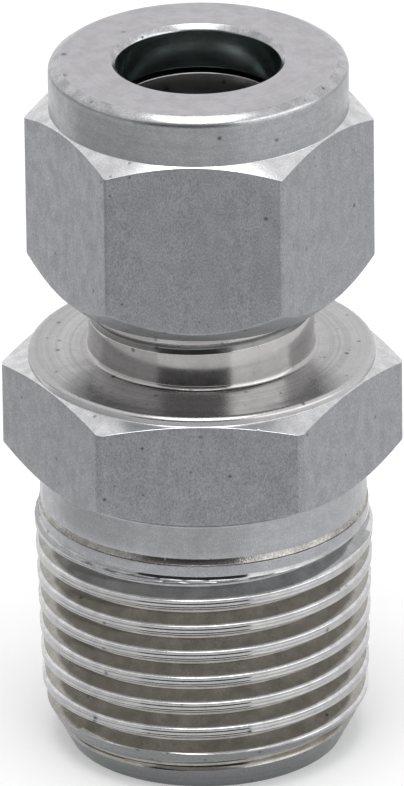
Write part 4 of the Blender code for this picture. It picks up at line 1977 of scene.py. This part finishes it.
@dataclass
class Studio:
    """Floor, light and camera.

    Attributes:
        lens: Focal length of the camera, in millimetres.
        distance: Distance of the camera from its target.
        elevation: Height of the camera, as an angle.
        azimuth: Turn of the camera from the front to the right.
        roll: Turn of the picture.
        target: The point that the camera looks at.
        world_light: Strength of the surroundings as light.
        world_extra: What is added where a ray shows them.
        floor_size: Half the width of the floor.
        floor_drop: How far the floor lies under the pipe end.
        floor_glow: How much the floor glows where a ray shows it.
        card_height: Height of the cards on the floor.
        card_start: How far before the axis the first card starts.
        card_left: Where the first card's left side starts.
        card_right: Where the first card's right side starts.
        card_spread: How fast the left side moves out with the distance.
        card_share: Share of that spread on the right side.
        wall_reach: Distance of the walls' edges from the axis.
        low_part: Heights of the lower and upper edge of a wall's low part.
        high_part: Heights of the edges of its high part.
    """

    lens: float = 700.0
    distance: float = 0.9612
    elevation: float = math.radians(24.97)
    azimuth: float = math.radians(1.0)
    roll: float = math.radians(0.709)
    target: tuple[float, float, float] = (-0.000017, 0.0, 0.023301)
    world_light: float = 0.65
    world_extra: float = 0.35
    floor_size: float = 2.0
    floor_drop: float = 0.00002
    floor_glow: float = 0.22
    card_height: float = 0.001
    card_start: float = 0.040
    card_left: float = -0.036
    card_right: float = 0.022
    card_spread: float = 0.8174
    card_share: float = 0.67
    wall_reach: float = 1.85
    low_part: Point = (0.002, 0.62)
    high_part: Point = (0.62, 1.75)

    def camera(self) -> bpy.types.Object:
        """Camera at the photograph's viewing angle.

        Returns:
            The camera, which is the scene's own.
        """
        data = bpy.data.cameras.new("photo_camera")
        data.lens = self.lens
        data.sensor_width = 36.0
        data.clip_start = 0.01
        data.clip_end = 20.0
        camera = bpy.data.objects.new("photo_camera", data)
        bpy.context.scene.collection.objects.link(camera)
        away = Vector(
            (
                math.sin(self.azimuth) * math.cos(self.elevation),
                -math.cos(self.azimuth) * math.cos(self.elevation),
                math.sin(self.elevation),
            )
        )
        turn = (-away).to_track_quat("-Z", "Y").to_matrix().to_4x4()
        camera.matrix_world = (
            Matrix.Translation(Vector(self.target) + away * self.distance)
            @ turn
            @ Matrix.Rotation(-self.roll, 4, "Z")
        )
        bpy.context.scene.camera = camera
        return camera

    @staticmethod
    def _shown_rays(sheet: ShaderSheet) -> Socket:
        """Tell the rays that show a thing from those that only carry its light.

        Args:
            sheet: Sheet that gets the nodes.

        Returns:
            One for camera, glossy and transmission rays, nought for the others.
        """
        rays = sheet.add("ShaderNodeLightPath").outputs
        both = sheet.most(rays["Is Camera Ray"], rays["Is Glossy Ray"])
        return sheet.most(both, rays["Is Transmission Ray"])

    def world(self) -> None:
        """Pale surroundings that light the object softly."""
        world = bpy.data.worlds.new("studio_world")
        bpy.context.scene.world = world
        world.use_nodes = True
        sheet = ShaderSheet(world.node_tree)
        background = world.node_tree.nodes["Background"]
        background.inputs["Color"].default_value = (1.0, 1.0, 1.0, 1.0)
        shown = self._shown_rays(sheet)
        strength = sheet.math("MULTIPLY_ADD", shown, self.world_extra, self.world_light)
        sheet.link(strength, background.inputs["Strength"])

    def floor(self) -> bpy.types.Object:
        """White floor that keeps the shadow of the fitting.

        Returns:
            The floor.
        """
        builder = bmesh.new()
        bmesh.ops.create_grid(builder, x_segments=2, y_segments=2, size=self.floor_size)
        mesh = bpy.data.meshes.new("studio_floor")
        builder.to_mesh(mesh)
        builder.free()
        floor = bpy.data.objects.new("studio_floor", mesh)
        floor.location = (0.0, 0.0, -self.floor_drop)
        bpy.context.scene.collection.objects.link(floor)
        material = bpy.data.materials.new("white_floor")
        material.use_nodes = True
        sheet = ShaderSheet(material.node_tree)
        shader = material.node_tree.nodes["Principled BSDF"]
        shader.inputs["Base Color"].default_value = (0.90, 0.90, 0.90, 1.0)
        shader.inputs["Roughness"].default_value = 0.9
        shader.inputs["Specular IOR Level"].default_value = 0.0
        shader.inputs["Emission Color"].default_value = (1.0, 1.0, 1.0, 1.0)
        glow = sheet.times(self._shown_rays(sheet), self.floor_glow)
        sheet.link(glow, shader.inputs["Emission Strength"])
        mesh.materials.append(material)
        return floor

    def card(self, name: str, corners: list[Place], tone: float) -> bpy.types.Object:
        """Grey card that only reflections show, as a photographer sets beside steel.

        Args:
            name: Name of the card.
            corners: Its four corners.
            tone: How bright it looks in the steel, where 1 is white.

        Returns:
            The card.
        """
        mesh = bpy.data.meshes.new(name)
        mesh.from_pydata(corners, [], [(0, 1, 2, 3)])
        card = bpy.data.objects.new(name, mesh)
        bpy.context.scene.collection.objects.link(card)
        material = bpy.data.materials.new(name)
        material.use_nodes = True
        shader = material.node_tree.nodes["Principled BSDF"]
        shader.inputs["Base Color"].default_value = (0.0, 0.0, 0.0, 1.0)
        shader.inputs["Specular IOR Level"].default_value = 0.0
        shader.inputs["Emission Color"].default_value = (tone, tone, tone, 1.0)
        shader.inputs["Emission Strength"].default_value = 1.0
        mesh.materials.append(material)
        card.visible_camera = False
        card.visible_diffuse = False
        card.visible_shadow = False
        return card

    def wall(self, name: str, turns: Point, heights: Point, tone: float) -> bpy.types.Object:
        """Upright card round the set, which only reflections show.

        Args:
            name: Name of the card.
            turns: Directions of its two sides, in degrees from the front to the right.
            heights: Heights of its lower and its upper edge.
            tone: How bright it looks in the steel, where 1 is white.

        Returns:
            The card.
        """
        ends = [
            (
                self.wall_reach * math.sin(math.radians(turn)),
                -self.wall_reach * math.cos(math.radians(turn)),
            )
            for turn in turns
        ]
        pairs = zip(heights, (ends, ends[::-1]))
        corners = [(x, y, height) for height, pair in pairs for x, y in pair]
        return self.card(name, corners, tone)

    def _front_cards(self) -> None:
        """Set the three cards before the fitting, each wider than the one nearer to it."""
        left = (-1.0, self.card_left)
        right = (self.card_share, self.card_right)
        for name, near, far, tone in (
            ("front_card_near", 0.040, 0.066, 0.90),
            ("front_card_middle", 0.066, 0.098, 0.73),
            ("front_card_far", 0.098, 0.155, 0.88),
        ):
            corners = [
                (
                    share * self.card_spread * (away - self.card_start) + side,
                    -away,
                    self.card_height,
                )
                for away, (share, side) in ((near, left), (near, right), (far, right), (far, left))
            ]
            self.card(name, corners, tone)

    def _left_card(self) -> None:
        """Set the card at the left of the fitting."""
        places = ((-0.037, -0.040), (-0.131, -0.155), (-0.20, 0.05), (-0.05, 0.02))
        self.card("left_card", [(*place, self.card_height) for place in places], 0.68)

    def _walls(self) -> None:
        """Set the three walls, each in a low and a high part."""
        for side, turns, low_tone, high_tone in (
            ("front", (-44.0, 30.0), 0.04, 0.34),
            ("right", (30.0, 99.0), 1.6, 2.3),
            ("left", (-120.0, -44.0), 0.6, 0.82),
        ):
            self.wall(f"{side}_wall_low", turns, self.low_part, low_tone)
            self.wall(f"{side}_wall_high", turns, self.high_part, high_tone)

    def lamp(self, name: str, place: Place, size: Point, power: float) -> bpy.types.Object:
        """Soft area lamp aimed at the middle of the fitting.

        Args:
            name: Name of the lamp.
            place: Where it hangs.
            size: Its width and height.
            power: Its power in watts.

        Returns:
            The lamp.
        """
        data = bpy.data.lights.new(name, "AREA")
        data.shape = "RECTANGLE"
        data.size, data.size_y = size
        data.energy = power
        lamp = bpy.data.objects.new(name, data)
        bpy.context.scene.collection.objects.link(lamp)
        lamp.location = place
        aim = Vector(self.target) - Vector(place)
        lamp.rotation_euler = aim.to_track_quat("-Z", "Y").to_euler()
        return lamp

    def build(self) -> None:
        """Set up the whole studio."""
        self.camera()
        self.world()
        self.floor()
        self._front_cards()
        self._left_card()
        self._walls()
        self.lamp("top_softbox", (0.0, -0.10, 0.55), (0.30, 0.36), 1.2)
        bpy.context.scene.view_settings.view_transform = "Standard"


def main() -> None:
    """Build the fitting and the studio."""
    logging.basicConfig(level=logging.INFO, format="%(name)s: %(message)s")
    groups = SteelGroups()
    steel = {zone: look.material(groups) for zone, look in FINISHES.items()}
    threads = ThreadTree()
    body = FittingBody().build(threads, steel)
    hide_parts("connector_body")
    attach(body, "fitting_body")
    nut = UnionNut().build(threads, steel)
    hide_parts("tube_nut")
    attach(nut, "nut")
    rings = Ferrules().build(steel)
    for node, rider in (("front_ferrule", "fitting_body"), ("rear_ferrule", "ferrule_slide")):
        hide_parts(node)
        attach(rings[node], rider)
    Studio().build()


if __name__ == "__main__":
    main()
